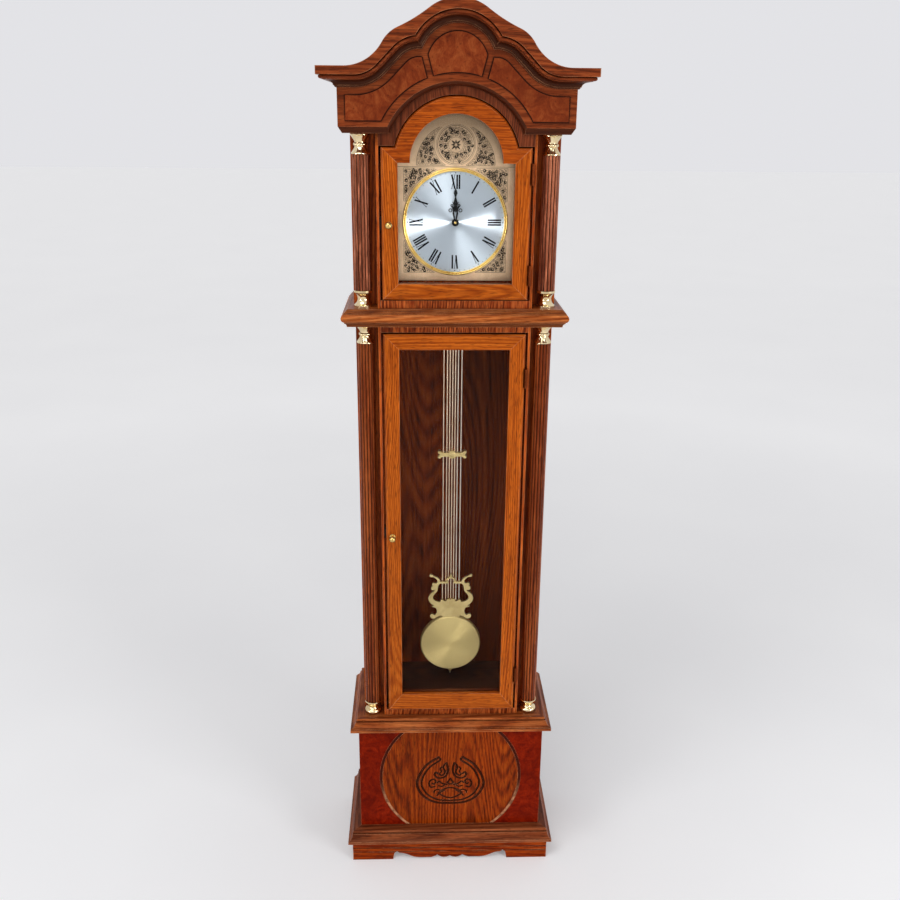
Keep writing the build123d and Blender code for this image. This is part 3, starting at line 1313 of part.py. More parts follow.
BATTERY_Z = DIAL_CENTRE_Z + BATTERY_RISE
BATTERY_Y = MOVEMENT_BACK - BATTERY_RADIUS - BATTERY_PLAY
PIVOT_BACK = PENDULUM_Y + PIVOT_EYE_THICK / 2 + PIVOT_SIDE_GAP
with BuildPart() as movement_case:
    board(
        (-MOVEMENT_WIDTH / 2, MOVEMENT_WIDTH / 2),
        (MOVEMENT_FRONT, MOVEMENT_BACK),
        (DIAL_CENTRE_Z - MOVEMENT_BELOW, DIAL_CENTRE_Z + MOVEMENT_ABOVE),
    )
    bay = BATTERY_RADIUS + BATTERY_PLAY
    board(
        (-BATTERY_LENGTH / 2 - BATTERY_PLAY, BATTERY_LENGTH / 2 + BATTERY_PLAY),
        (BATTERY_Y - bay, MOVEMENT_BACK),
        (BATTERY_Z - bay, BATTERY_Z + bay),
        mode=Mode.SUBTRACT,
    )
    rod_along_depth(BUSH_RADIUS, BUSH_END, MOVEMENT_FRONT, DIAL_CENTRE_Z)
    rod_along_depth(HOUR_PIPE_RADIUS, HOUR_PIPE_END, BUSH_END, DIAL_CENTRE_Z)
    rod_along_depth(SPINDLE_RADIUS, SPINDLE_END, HOUR_PIPE_END, DIAL_CENTRE_Z)
    rod_along_depth(PIVOT_PIN_RADIUS, MOVEMENT_BACK, PIVOT_BACK, PIVOT_Z)
    rod_along_depth(PIVOT_HEAD_RADIUS, PIVOT_BACK, PIVOT_BACK + PIVOT_HEAD_THICK, PIVOT_Z)
finish(movement_case, "movement_case")

with BuildPart() as movement_battery:
    with BuildSketch(Plane.YZ.offset(-BATTERY_LENGTH / 2)):
        with Locations((BATTERY_Y, BATTERY_Z)):
            Circle(BATTERY_RADIUS)
    extrude(amount=BATTERY_LENGTH)
finish(movement_battery, "movement_battery")

with BuildPart() as shaft_nut:
    with BuildSketch(upright(DIAL_DISC_FRONT)):
        with Locations((0, DIAL_CENTRE_Z)):
            RegularPolygon(NUT_RADIUS, 6)
            Circle(BUSH_RADIUS, mode=Mode.SUBTRACT)
    extrude(amount=NUT_THICK)
finish(shaft_nut, "shaft_nut")


# ---- Hands ----
def hand_blade(length, loop_rise):
    """A hand's flat outline: a boss, a stem, a pair of pierced loops and a leaf-shaped tip."""
    Circle(HAND_BOSS_RADIUS)
    with Locations((0, loop_rise / 2)):
        Rectangle(2.4, loop_rise)
    loops = ((-HAND_LOOP_OUTER + 0.5, loop_rise), (HAND_LOOP_OUTER - 0.5, loop_rise))
    with Locations(*loops):
        Circle(HAND_LOOP_OUTER)
    with Locations(*loops):
        Circle(HAND_LOOP_INNER, mode=Mode.SUBTRACT)
    with BuildLine() as tip:
        Line((-1.2, loop_rise - 3), (1.2, loop_rise - 3))
        ThreePointArc((1.2, loop_rise - 3), (2.6, (loop_rise + length) / 2), (0, length))
        ThreePointArc((0, length), (-2.6, (loop_rise + length) / 2), (-1.2, loop_rise - 3))
    make_face(tip.line.edges())


HOUR_HAND_BACK = BUSH_END - HAND_LIFT
MINUTE_HAND_BACK = HOUR_PIPE_END - HAND_LIFT
DIAL_CENTRE_PLANE = Plane(origin=(0, 0, DIAL_CENTRE_Z), x_dir=(1, 0, 0), z_dir=(0, -1, 0))
with BuildPart() as hour_hand:
    with BuildSketch(DIAL_CENTRE_PLANE.offset(-HOUR_HAND_BACK)):
        hand_blade(HOUR_HAND_LENGTH, HOUR_LOOP_RISE)
    extrude(amount=HAND_THICK)
    with BuildSketch(DIAL_CENTRE_PLANE.offset(-HOUR_HAND_BACK)):
        Circle(HAND_BOSS_RADIUS)
    extrude(amount=HOUR_BOSS_LENGTH)
    with BuildSketch(DIAL_CENTRE_PLANE.offset(-HOUR_HAND_BACK)):
        Circle(HOUR_PIPE_RADIUS + HAND_PLAY)
    extrude(amount=HOUR_BOSS_LENGTH, mode=Mode.SUBTRACT)
finish(hour_hand, "hour_hand")

with BuildPart() as minute_hand:
    with BuildSketch(DIAL_CENTRE_PLANE.offset(-MINUTE_HAND_BACK)):
        hand_blade(MINUTE_HAND_LENGTH, MINUTE_LOOP_RISE)
    extrude(amount=HAND_THICK)
    with BuildSketch(DIAL_CENTRE_PLANE.offset(-MINUTE_HAND_BACK)):
        Circle(HAND_BOSS_RADIUS * 0.75)
    extrude(amount=MINUTE_BOSS_LENGTH)
    with BuildSketch(DIAL_CENTRE_PLANE.offset(-MINUTE_HAND_BACK)):
        Circle(SPINDLE_RADIUS + HAND_PLAY)
    extrude(amount=SPINDLE_LENGTH, mode=Mode.SUBTRACT)
finish(minute_hand, "minute_hand")


# ---- Pendulum ----
def rod_places():
    """The sideways places of the pendulum's rods. The outermost two stand a little apart."""
    inner_count = ROD_COUNT - 2
    inner = [(index - (inner_count - 1) / 2) * ROD_PITCH for index in range(inner_count)]
    outer = inner[-1] + OUTER_ROD_GAP
    return [-outer, *inner, outer]


with BuildPart() as pendulum_hanger:
    eye_back = PENDULUM_Y + PIVOT_EYE_THICK / 2
    with BuildSketch(upright(eye_back)):
        with Locations((0, PIVOT_Z)):
            Circle(PIVOT_EYE_RADIUS)
    extrude(amount=PIVOT_EYE_THICK)
    board(
        (-HANGER_WIDTH / 2, HANGER_WIDTH / 2),
        (PENDULUM_Y - HANGER_THICK / 2, PENDULUM_Y + HANGER_THICK / 2),
        (YOKE_Z + YOKE_HEIGHT, PIVOT_Z),
    )
    board(
        (-YOKE_WIDTH / 2, YOKE_WIDTH / 2),
        (PENDULUM_Y - YOKE_DEPTH / 2, PENDULUM_Y + YOKE_DEPTH / 2),
        (YOKE_Z, YOKE_Z + YOKE_HEIGHT),
    )
    with BuildSketch(upright(eye_back)):
        with Locations((0, PIVOT_Z)):
            Circle(PIVOT_PIN_RADIUS + PIVOT_PLAY)
    extrude(amount=PIVOT_EYE_THICK, mode=Mode.SUBTRACT)
finish(pendulum_hanger, "pendulum_hanger")

with BuildPart() as pendulum_rods:
    for x in rod_places():
        bottom = RATING_TIP_Z + RATING_NUT_HEIGHT if abs(x) < ROD_RADIUS else ROD_BOTTOM_Z
        with Locations((x, PENDULUM_Y, (bottom + YOKE_Z) / 2)):
            Cylinder(ROD_RADIUS, YOKE_Z - bottom)
finish(pendulum_rods, "pendulum_rods")

with BuildPart() as pendulum_mid_bar:
    with BuildSketch(Plane.XY.offset(MID_BAR_Z)):
        with Locations((0, PENDULUM_Y)):
            Rectangle(MID_BAR_WIDTH, MID_BAR_DEPTH)
        with Locations(*[(x, PENDULUM_Y) for x in rod_places()]):
            Circle(ROD_RADIUS + ROD_PLAY, mode=Mode.SUBTRACT)
    extrude(amount=MID_BAR_HEIGHT)
    with BuildSketch(upright(PENDULUM_Y + MID_BAR_DEPTH)):
        for side in (-1, 1):
            corner_x = side * MID_BAR_WIDTH / 2
            with Locations((corner_x, MID_BAR_Z), (corner_x, MID_BAR_Z + MID_BAR_HEIGHT)):
                Circle(MID_BAR_HEIGHT / 2 - MID_BAR_WAIST / 2)
    extrude(amount=2 * MID_BAR_DEPTH, mode=Mode.SUBTRACT)
finish(pendulum_mid_bar, "pendulum_mid_bar")

LYRE_BACK = PENDULUM_Y - ROD_RADIUS - LYRE_PLAY
LYRE_BASE_Z = BOB_CENTRE_Z + BOB_RADIUS


def lyre_arm():
    """The right half of the lyre, in width from the middle and height above the bob."""
    with BuildLine() as outer:
        Line((0, -16), (0, 38))
        ThreePointArc((0, 38), (4.5, 45), (9, 38))
        Spline((9, 38), (12, 39.5), (15, 39.5), (18.5, 43), (22, 42), (23, 37.5))
        Spline((23, 37.5), (34, 39.5), (40, 45), (37.5, 57), (31, 65), (30, 71), (24.5, 84))
        Line((24.5, 84), (6, 84))
        Spline((6, 84), (5.5, 87), (8.5, 93), (3.5, 96), (0, 103))
        Line((0, 103), (0, 110))
        Line((0, 110), (3, 101))
        Spline((3, 101), (6, 98), (10.5, 94), (9, 88.5))
        Line((9, 88.5), (24, 88.5))
        Spline((24, 88.5), (31, 99.5), (40, 104), (46.5, 107), (48, 102.5), (44.5, 100.5), (40, 101))
        Spline((40, 101), (34, 96.5), (30.5, 89.5), (33, 84.5), (40.5, 85.5), (42.5, 81), (39, 77.5))
        Spline((39, 77.5), (44.5, 74), (43, 68), (37, 67.5), (38, 64))
        Spline((38, 64), (46.5, 57.5), (51, 47), (47.5, 36), (38.5, 28.5))
        Line((38.5, 28.5), (43.5, 25))
        Line((43.5, 25), (34, 22))
        Spline((34, 22), (31.5, 14), (33.5, 6), (38.5, 3.5))
        Spline((38.5, 3.5), (42, 6.5), (46.5, 3.5), (45.5, -3), (40, -6), (30, -1), (16, -1.5))
        Line((16, -1.5), (0, -16))
    make_face(outer.line.edges())


with BuildPart() as pendulum_lyre:
    with BuildSketch(Plane(origin=(0, LYRE_BACK, LYRE_BASE_Z), x_dir=(1, 0, 0), z_dir=(0, -1, 0))):
        lyre_arm()
        mirror(about=Plane.YZ)
        with Locations((0, -BOB_RADIUS)):
            Circle(BOB_RADIUS + BOB_LYRE_GAP, mode=Mode.SUBTRACT)
    extrude(amount=LYRE_THICK)
finish(pendulum_lyre, "pendulum_lyre")

with BuildPart() as pendulum_bob:
    with BuildSketch(Plane.XY.offset(BOB_CENTRE_Z)):
        field = BOB_RADIUS - BOB_RIM
        with BuildLine():
            Line((0, PENDULUM_Y - BOB_CENTRE), (field, PENDULUM_Y - BOB_CENTRE + 2))
            Line((field, PENDULUM_Y - BOB_CENTRE + 2), (BOB_RADIUS, PENDULUM_Y - BOB_EDGE))
            Line((BOB_RADIUS, PENDULUM_Y - BOB_EDGE), (BOB_RADIUS, PENDULUM_Y + BOB_EDGE))
            Line((BOB_RADIUS, PENDULUM_Y + BOB_EDGE), (0, PENDULUM_Y + BOB_CENTRE))
            Line((0, PENDULUM_Y + BOB_CENTRE), (0, PENDULUM_Y - BOB_CENTRE))
        make_face()
    revolve(axis=Axis((0, 0, BOB_CENTRE_Z), (0, 1, 0)))
    with Locations((0, PENDULUM_Y, BOB_CENTRE_Z)):
        Cylinder(ROD_RADIUS + ROD_PLAY, 2 * BOB_RADIUS, mode=Mode.SUBTRACT)
finish(pendulum_bob, "pendulum_bob")

with BuildPart() as rating_nut:
    with BuildSketch(upright(PENDULUM_Y)):
        with BuildLine():
            top = BOB_CENTRE_Z - BOB_RADIUS
            Polyline(
                (ROD_RADIUS + ROD_PLAY, top),
                (RATING_NUT_RADIUS, top),
                (RATING_NUT_RADIUS, top - RATING_NUT_HEIGHT),
                (ROD_RADIUS + ROD_PLAY, top - RATING_NUT_HEIGHT),
                close=True,
            )
        make_face()
    revolve(axis=Axis((0, PENDULUM_Y, 0), (0, 0, 1)))
finish(rating_nut, "rating_nut")
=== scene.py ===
import math

import bpy
import bmesh
import numpy as np
from mathutils import Matrix, Vector
from mathutils.geometry import tessellate_polygon


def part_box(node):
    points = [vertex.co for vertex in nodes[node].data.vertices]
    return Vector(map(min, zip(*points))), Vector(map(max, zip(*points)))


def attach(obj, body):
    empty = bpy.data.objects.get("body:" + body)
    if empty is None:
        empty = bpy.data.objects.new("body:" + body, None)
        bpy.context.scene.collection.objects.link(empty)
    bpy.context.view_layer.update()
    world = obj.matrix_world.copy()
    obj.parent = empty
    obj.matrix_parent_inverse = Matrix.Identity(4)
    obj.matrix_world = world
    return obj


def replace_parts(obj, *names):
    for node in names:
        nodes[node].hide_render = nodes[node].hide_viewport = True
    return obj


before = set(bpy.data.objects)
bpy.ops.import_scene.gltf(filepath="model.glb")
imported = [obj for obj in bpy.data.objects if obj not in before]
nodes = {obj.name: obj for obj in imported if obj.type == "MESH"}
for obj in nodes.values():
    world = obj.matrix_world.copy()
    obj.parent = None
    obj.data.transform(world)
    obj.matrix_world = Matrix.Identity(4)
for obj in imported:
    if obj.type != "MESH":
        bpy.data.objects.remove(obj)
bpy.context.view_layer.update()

MM = 0.001
TAU = 2 * math.pi

# ---- Places that several pieces or materials share, in millimetres ----
FRONT, BACK, TRUNK_HALF = -72.0, 127.0, 199.0
FRIEZE_OUT, FASCIA_OUT = 20.5, 55.0
COVE_OUT = (21.2, 37.5)
# The mitred corners lie where the distance from the middle plus y is this.
MITRE = TRUNK_HALF + FRONT
FRIEZE_TOP, CORNICE_TOP, CROWN_TOP = 1733.5, 1768.5, 1881.0
OPENING_Z, OPENING_RADIUS, LIP_Z = 1602.0, 144.1, 1666.2
WAIST_REEDS, WAIST_HOLLOW = 1316.8, 1302.2
COLUMN_Y, TRUNK_COLUMN_X, HOOD_COLUMN_X = -54.0, 179.0, 181.5
PANEL_Z, PANEL_FRONT = 221.0, -84.5
DIAL_Z, BOB_Z = 1489.5, 528.5


# ---- Colours and shader nodes ----
def srgb(*levels):
    """A colour written as 0 to 255 values, in the linear values that shaders take."""
    return tuple(((c / 255 + 0.055) / 1.055) ** 2.4 if c > 10 else c / 255 / 12.92 for c in levels) + (1.0,)


def toned(colour, factor):
    """A colour made darker or lighter."""
    return tuple(min(1.0, factor * c) for c in colour[:3]) + (1.0,)


class Shade:
    """One procedural material and the nodes that make it."""

    def __init__(self, name, **values):
        self.material = bpy.data.materials.new(name)
        self.material.use_nodes = True
        self.tree = self.material.node_tree
        self.shader = self.tree.nodes["Principled BSDF"]
        self.place = self.node("TexCoord").outputs["Object"]
        for key, value in values.items():
            self.put(self.shader, key.replace("_", " "), value)

    def put(self, node, key, value):
        if isinstance(value, bpy.types.NodeSocket):
            self.tree.links.new(value, node.inputs[key])
        else:
            node.inputs[key].default_value = value

    def node(self, kind, inputs=None, **settings):
        made = self.tree.nodes.new("ShaderNode" + kind)
        for key, value in settings.items():
            setattr(made, key, value)
        for key, value in (inputs or {}).items():
            self.put(made, key, value)
        return made

    def axes(self, vector=None):
        """The x, y and z of the place on the piece, or of another vector."""
        return self.node("SeparateXYZ", {0: self.place if vector is None else vector}).outputs

    def facing(self):
        """The direction that the surface faces."""
        return self.node("NewGeometry").outputs["Normal"]

    def scaled(self, scale, shift=0.0):
        """The place on the piece, scaled alike or along each axis, and shifted."""
        each = scale if isinstance(scale, (list, tuple)) else (scale,) * 3
        moved = (shift, 1.7 * shift, 0.6 * shift)
        return self.node("Mapping", {"Vector": self.place, "Scale": each, "Location": moved}).outputs[0]

    def noise(self, vector, detail=3.0, rough=0.6, distortion=0.0):
        values = {"Vector": vector, "Scale": 1.0, "Detail": detail, "Roughness": rough}
        return self.node("TexNoise", {**values, "Distortion": distortion}).outputs[0]

    def math(self, operation, a, b=0.0):
        return self.node("Math", {0: a, 1: b}, operation=operation).outputs[0]

    def times(self, a, b):
        return self.math("MULTIPLY", a, b)

    def reach(self, a, b):
        """The distance that two distances at right angles make."""
        return self.math("SQRT", self.math("ADD", self.times(a, a), self.times(b, b)))

    def between(self, value, low, high, to_low=0.0, to_high=1.0):
        values = {"Value": value, "From Min": low, "From Max": high, "To Min": to_low, "To Max": to_high}
        return self.node("MapRange", values, clamp=True).outputs[0]

    def past(self, value, edge, over, amount=1.0):
        """The amount past an edge in millimetres, which comes in over a distance that may be negative."""
        return self.between(value, edge * MM, (edge + over) * MM, 0.0, amount)

    def ramp(self, value, *stops):
        made = self.node("ValToRGB", {"Fac": value})
        elements = made.color_ramp.elements
        while len(elements) < len(stops):
            elements.new(0.5)
        for element, (position, colour) in zip(elements, stops):
            element.position = position
            element.color = colour
        return made.outputs["Color"]

    def mix(self, factor, a, b, blend="MIX"):
        made = self.node("Mix", {0: factor, 6: a, 7: b}, data_type="RGBA", blend_type=blend)
        return made.outputs[2]

    def coat(self, colour, rough, height=None, strength=0.1, distance=0.0002):
        """Gives the shader its colour, roughness and fine relief, and returns the material."""
        self.put(self.shader, "Base Color", colour)
        self.put(self.shader, "Roughness", rough)
        if height is not None:
            relief = self.node("Bump", {"Height": height, "Strength": strength, "Distance": distance})
            self.put(self.shader, "Normal", relief.outputs[0])
        return self.material


# ---- Painted shade and shadow, each a function that gives the amount of painted shade at a place ----
def panel_groove(s):
    """Painted shade behind the face of the round panel, in its carving."""
    return s.past(s.axes()[1], PANEL_FRONT + 0.2, 0.9, 0.9)


def arch_reveal(s):
    """Painted shade on the edge round the arched opening and on the lip below the frieze."""
    x, _, z = s.axes()
    reach = s.reach(x, s.math("SUBTRACT", z, OPENING_Z * MM))
    return s.math("MAXIMUM", s.past(reach, OPENING_RADIUS, -0.9, 0.8), s.past(z, LIP_Z, -1.0, 0.8))


def cove(axis, start):
    """Painted shade in the crown's cove, which lies out from a start along one axis, but not on faces that
    look up into the light.
    """
    def painted_shade(s):
        away = s.math("ABSOLUTE", s.axes()["xyz".index(axis)])
        low, high = COVE_OUT
        inside = s.times(s.past(away, start + low, 3), s.past(away, start + high, -3))
        return s.times(inside, s.between(s.axes(s.facing())[2], 0.3, 0.5, 0.93, 0.0))
    return painted_shade


def reed_grooves(column_x):
    """Painted shade in the grooves between the reeds of the columns whose axes lie at plus and minus
    column_x.
    """
    def painted_shade(s):
        x, y, _ = s.axes()
        x, y = s.math("SUBTRACT", s.math("ABSOLUTE", x), column_x * MM), s.math("ADD", y, -COLUMN_Y * MM)
        return s.past(s.reach(x, y), 15.6, -1.3, 0.9)
    return painted_shade


def waist_lines(s):
    """Painted shade in the valleys between the reeds at the moulding's top, and in its lower hollow."""
    z = s.axes()[2]
    apart = s.math("PINGPONG", s.math("SUBTRACT", z, (WAIST_REEDS + 1) * MM), 1.3 * MM)
    valleys = s.times(s.past(apart, 0.6, -0.5, 0.85), s.past(z, WAIST_REEDS, 0.4))
    valleys = s.math("MAXIMUM", valleys, s.past(z, WAIST_REEDS, 0.6, 0.42))
    return s.math("MAXIMUM", valleys, s.past(z, WAIST_HOLLOW, -1, 0.7))


def darker_top(s):
    """Painted shade on the ledges, which face up."""
    return s.between(s.axes(s.facing())[2], 0.7, 0.95, 0.0, 0.4)


def darker_right(s):
    """Painted shade towards the right side of the back board, where less light falls."""
    return s.past(s.axes()[0], -30, 80, 0.35)


def plate_painted_shadow(s):
    """Painted shadow towards the top of the dial plate's arch, where the door frame casts its shadow."""
    return s.past(s.axes()[2], 1600, 72, 0.85)


# ---- Materials ----
# The first colour is the pale of rubbed edges, partly wear and partly a painted highlight; the second is
# painted shade in corners and creases.
PALE_WEAR_AND_HIGHLIGHT, CREVICE_SHADE, WARM = srgb(214, 150, 108), srgb(26, 9, 4), (1.0, 0.62, 0.42, 1.0)


def wear_highlight_and_shade(s, colour, amount, shift=0.0):
    """Rubbed edges, pale partly as wear and partly as a painted highlight, and painted shade where surfaces
    meet.
    """
    softened = s.node("Bevel", {"Radius": 0.0018}, samples=4).outputs[0]
    flat = s.node("VectorMath", {0: s.facing(), 1: softened}, operation="DOT_PRODUCT").outputs["Value"]
    rubbed_and_highlit = s.between(s.noise(s.scaled(40, shift), 3.0, 0.65), 0.36, 0.6, 0.1, 1.0)
    open_air = s.node("AmbientOcclusion", {"Distance": 0.007}, samples=4).outputs["AO"]
    edge = s.times(s.between(flat, 0.985, 0.87), s.between(open_air, 0.6, 0.9))
    # Painted shade in corners and creases, where the ambient occlusion is low.
    colour = s.mix(s.between(open_air, 0.3, 0.8, 0.7, 0.0), colour, CREVICE_SHADE)
    # Pale rubbed edges, partly wear and partly a painted highlight.
    return s.mix(s.times(s.times(edge, rubbed_and_highlit), amount), colour, PALE_WEAR_AND_HIGHLIGHT)


# Worn sets how pale the rubbed edges get, partly as wear and partly as a painted highlight.
def wood(name, tones, grain="z", shift=0.0, lines=130, figure=3.4, gloss=0.34, worn=0.6, painted_shade=None,
         flecks=0.25, shine=0.22, mitred=False):
    """Stained open-pored oak with its grain along one axis. Mitred grain turns round the case's corners."""
    s = Shade(name, Specular_IOR_Level=shine, Specular_Tint=WARM)
    dark, mid, light = (srgb(*tone) for tone in tones)
    if mitred:
        x, y, z = s.axes()
        at_side = s.math("GREATER_THAN", s.math("ADD", s.math("ABSOLUTE", x), y), MITRE * MM)
        turned_place = s.node("CombineXYZ", {0: y, 1: x, 2: z}).outputs[0]
        s.place = s.node("Mix", {0: at_side, 4: s.place, 5: turned_place}, data_type="VECTOR").outputs[1]

    def drawn_out(across, lengthwise, extra, *texture):
        """Noise that is drawn out along the grain."""
        scale = [across] * 3
        scale["xyz".index(grain)] = lengthwise
        return s.noise(s.scaled(scale, shift + extra), *texture)

    rings = drawn_out(figure, figure * 0.1, 0.0, 2.0, 0.4, 0.2)
    wave = s.between(s.math("SINE", s.times(rings, lines * TAU)), -1, 1)
    streaks = drawn_out(95, 2.4, 5.2, 3.0, 0.65)
    band = s.math("ADD", s.times(wave, 0.3), s.times(streaks, 0.7))
    colour = s.ramp(band, (0.24, dark), (0.42, mid), (0.74, light))
    patches = s.between(drawn_out(4.5, 0.8, 3.1, 3.0, 0.6), 0.3, 0.7, 0.82, 1.16)
    shade = s.node("CombineColor", {0: patches, 1: patches, 2: patches}).outputs[0]
    colour = s.mix(1.0, colour, shade, "MULTIPLY")
    fibre = drawn_out(320, 11, 1.3, 3.0, 0.7)
    colour = s.mix(s.between(fibre, 0.34, 0.56, 0.65, 0.0), colour, dark)
    short = drawn_out(300, 22, 4.4, 2.0, 0.6)
    colour = s.mix(s.between(short, 0.52, 0.68, 0.0, flecks), colour, toned(light, 1.45))
    pores = s.between(drawn_out(620, 60, 2.2, 1.0, 0.5), 0.31, 0.43)
    colour = s.mix(s.between(pores, 0.0, 1.0, 0.62, 0.0), colour, toned(dark, 0.4))
    # Painted shade darkens the colour wherever a function for it is given.
    if painted_shade:
        colour = s.mix(painted_shade(s), colour, toned(dark, 0.32))
    rough = s.between(fibre, 0.2, 0.8, gloss + 0.12, gloss - 0.06)
    height = s.math("ADD", s.times(pores, 0.5), s.times(fibre, 0.35))
    return s.coat(wear_highlight_and_shade(s, colour, worn, shift), rough, height, 0.35, 0.0004)


def burl(name, tones, shine, gloss=0.3):
    """Burl veneer: swirling figure with small dark eyes."""
    s = Shade(name, Specular_IOR_Level=shine, Specular_Tint=WARM)
    dark, mid, light = (srgb(*tone) for tone in tones)
    warp = s.noise(s.scaled(26), 5.0, 0.65, 2.4)
    clouds = s.noise(s.scaled(11, 4.0), 3.0, 0.6, 1.2)
    colour = s.ramp(warp, (0.3, dark), (0.47, mid), (0.68, light))
    colour = s.mix(s.between(clouds, 0.4, 0.68, 0.0, 0.5), colour, dark)
    grain = s.noise(s.scaled((480, 480, 190)), 3.0, 0.6, 0.5)
    colour = s.mix(s.between(grain, 0.3, 0.58, 0.45, 0.0), colour, dark)
    eyes = s.node("TexVoronoi", {"Vector": s.scaled(85), "Scale": 1.0, "Randomness": 1.0}).outputs[0]
    colour = s.mix(s.between(eyes, 0.06, 0.16, 0.6, 0.0), colour, toned(dark, 0.5))
    rough = s.between(warp, 0.3, 0.7, gloss + 0.1, gloss)
    return s.coat(wear_highlight_and_shade(s, colour, 0.5), rough, grain, 0.15)


def metal(name, base, worn, rough, brush=60, strength=0.05, painted_shadow=None):
    """Metal with fine lines or mottling, tarnished patches, and a painted shadow where one is given."""
    s = Shade(name, Metallic=1.0)
    base, worn = srgb(*base), srgb(*worn)
    lines = s.noise(s.scaled(brush), 3.0, 0.65)
    patches = s.noise(s.scaled(28, 2.0), 4.0, 0.6, 0.4)
    colour = s.mix(s.between(patches, 0.42, 0.7, 0.0, 0.75), base, worn)
    colour = s.mix(s.between(lines, 0.35, 0.65, 0.25, 0.0), colour, worn)
    # A painted shadow darkens the colour wherever a function for it is given.
    if painted_shadow:
        colour = s.mix(painted_shadow(s), colour, toned(worn, 0.45))
    return s.coat(colour, s.between(lines, 0.25, 0.75, rough + 0.08, rough - 0.04), lines, strength, 0.0003)


def spun(name, base, worn, rough, brushed, centre_z):
    """Metal brushed in circles round the clock's middle at a height."""
    s = Shade(name, Metallic=1.0, Anisotropic=brushed, Anisotropic_Rotation=0.25)
    base, worn = srgb(*base), srgb(*worn)
    s.put(s.shader, "Tangent", s.node("Tangent", direction_type="RADIAL", axis="Y").outputs[0])
    x, _, z = s.axes()
    reach = s.reach(x, s.math("SUBTRACT", z, centre_z * MM))
    rings = s.noise(s.node("CombineXYZ", {0: s.times(reach, 1500)}).outputs[0], 3.0, 0.7)
    patches = s.noise(s.scaled(14, 1.0), 3.0, 0.6, 0.3)
    colour = s.mix(s.between(patches, 0.4, 0.75, 0.0, 0.4), base, worn)
    colour = s.mix(s.between(rings, 0.3, 0.7, 0.3, 0.0), colour, worn)
    return s.coat(colour, s.between(rings, 0.3, 0.7, rough + 0.02, rough - 0.02))


def beads_wear_and_highlight():
    """Dark finish on the beads, pale on their lower half: partly rubbed through and partly a painted
    highlight.
    """
    s = Shade("bead_finish_wear_and_highlight", Specular_IOR_Level=0.1)
    fine = s.noise(s.scaled(60))
    # The lower half turns pale, partly as wear and partly as a painted highlight.
    rubbed_and_highlit = s.times(s.past(s.axes()[2], 210, -50), s.between(fine, 0.4, 0.6, 0.35, 0.9))
    return s.coat(s.mix(rubbed_and_highlit, srgb(74, 22, 6), PALE_WEAR_AND_HIGHLIGHT), s.between(fine, 0.3, 0.7, 0.55, 0.45), fine)


def plain(name, base, second, rough, scale=300.0, strength=0.1, shine=0.5):
    """Moulded or painted surface with a fine texture and slight unevenness."""
    s = Shade(name, Specular_IOR_Level=shine)
    fine = s.noise(s.scaled(scale))
    broad = s.noise(s.scaled(30, 5.0), 2.0, 0.5)
    colour = s.mix(s.between(broad, 0.35, 0.7), srgb(*base), srgb(*second))
    return s.coat(colour, s.between(fine, 0.3, 0.7, rough + 0.06, rough - 0.04), fine, strength)


def clear_glass(name):
    """Window glass that lets lamplight through to what is behind it."""
    s = Shade(name, Transmission_Weight=1.0, IOR=1.1, Base_Color=(0.97, 0.99, 0.98, 1.0))
    film = s.noise(s.scaled(9))
    s.put(s.shader, "Roughness", s.between(film, 0.4, 0.8, 0.0, 0.03))
    path = s.node("LightPath").outputs
    through = s.math("MAXIMUM", path["Is Shadow Ray"], path["Is Diffuse Ray"])
    both = s.node("MixShader", {0: through, 1: s.shader.outputs[0], 2: s.node("BsdfTransparent").outputs[0]})
    s.tree.links.new(both.outputs[0], s.tree.nodes["Material Output"].inputs["Surface"])
    return s.material


# A wood's three colours are its dark, middle and light tone. Some woods share theirs.
CROWN_OAK = (74, 26, 8), (120, 48, 18), (150, 72, 34)
DOOR_OAK = (120, 44, 2), (172, 78, 10), (200, 102, 26)

MOULDING = dict(grain="x", lines=50, mitred=True)
COLUMN = dict(lines=24, gloss=0.26, worn=0.25)
BOARD = dict(gloss=0.5, worn=0.2)

oak_case_z = wood("oak_case_upright", ((66, 20, 4), (118, 44, 10), (146, 64, 18)))
oak_post = wood("oak_post_upright", ((86, 26, 4), (160, 64, 16), (204, 100, 34)), shift=1.0, lines=60)
oak_rail = wood("oak_rail_upright", ((66, 18, 3), (132, 48, 12), (186, 94, 42)), shift=2.0, lines=150,
                flecks=0.7)
oak_crown = wood("oak_crown_across", CROWN_OAK, "x", shift=5.0, lines=55, painted_shade=cove("y", -FRONT))
oak_crown_y = wood("oak_crown_depth", CROWN_OAK, "y", shift=6.0, painted_shade=cove("x", TRUNK_HALF))
oak_frieze = wood("oak_frieze_across", CROWN_OAK, "x", shift=5.5, lines=55, painted_shade=arch_reveal)
oak_door_z = wood("oak_door_upright", DOOR_OAK, shift=7.0)
oak_door_x = wood("oak_door_across", DOOR_OAK, "x", shift=8.0)
oak_door_top = wood("oak_door_top", ((112, 38, 2), (164, 68, 8), (196, 94, 22)), "x", shift=9.0)
oak_dark = wood("oak_arch_board", ((46, 15, 6), (94, 38, 18), (122, 60, 34)), shift=11.0, worn=0.3)
oak_apron = wood("oak_apron", ((88, 22, 0), (148, 46, 2), (182, 72, 10)), "x", shift=12.0, lines=70,
                 worn=0.8, shine=0.1)
oak_plinth = wood("oak_plinth_across", ((78, 28, 9), (128, 58, 26), (164, 90, 52)), shift=13.0, worn=1.0,
                  painted_shade=darker_top, **MOULDING)
oak_shelf = wood("oak_shelf_across", ((88, 32, 8), (152, 70, 26), (188, 106, 54)), shift=13.4, worn=0.9,
                 painted_shade=darker_top, **MOULDING)
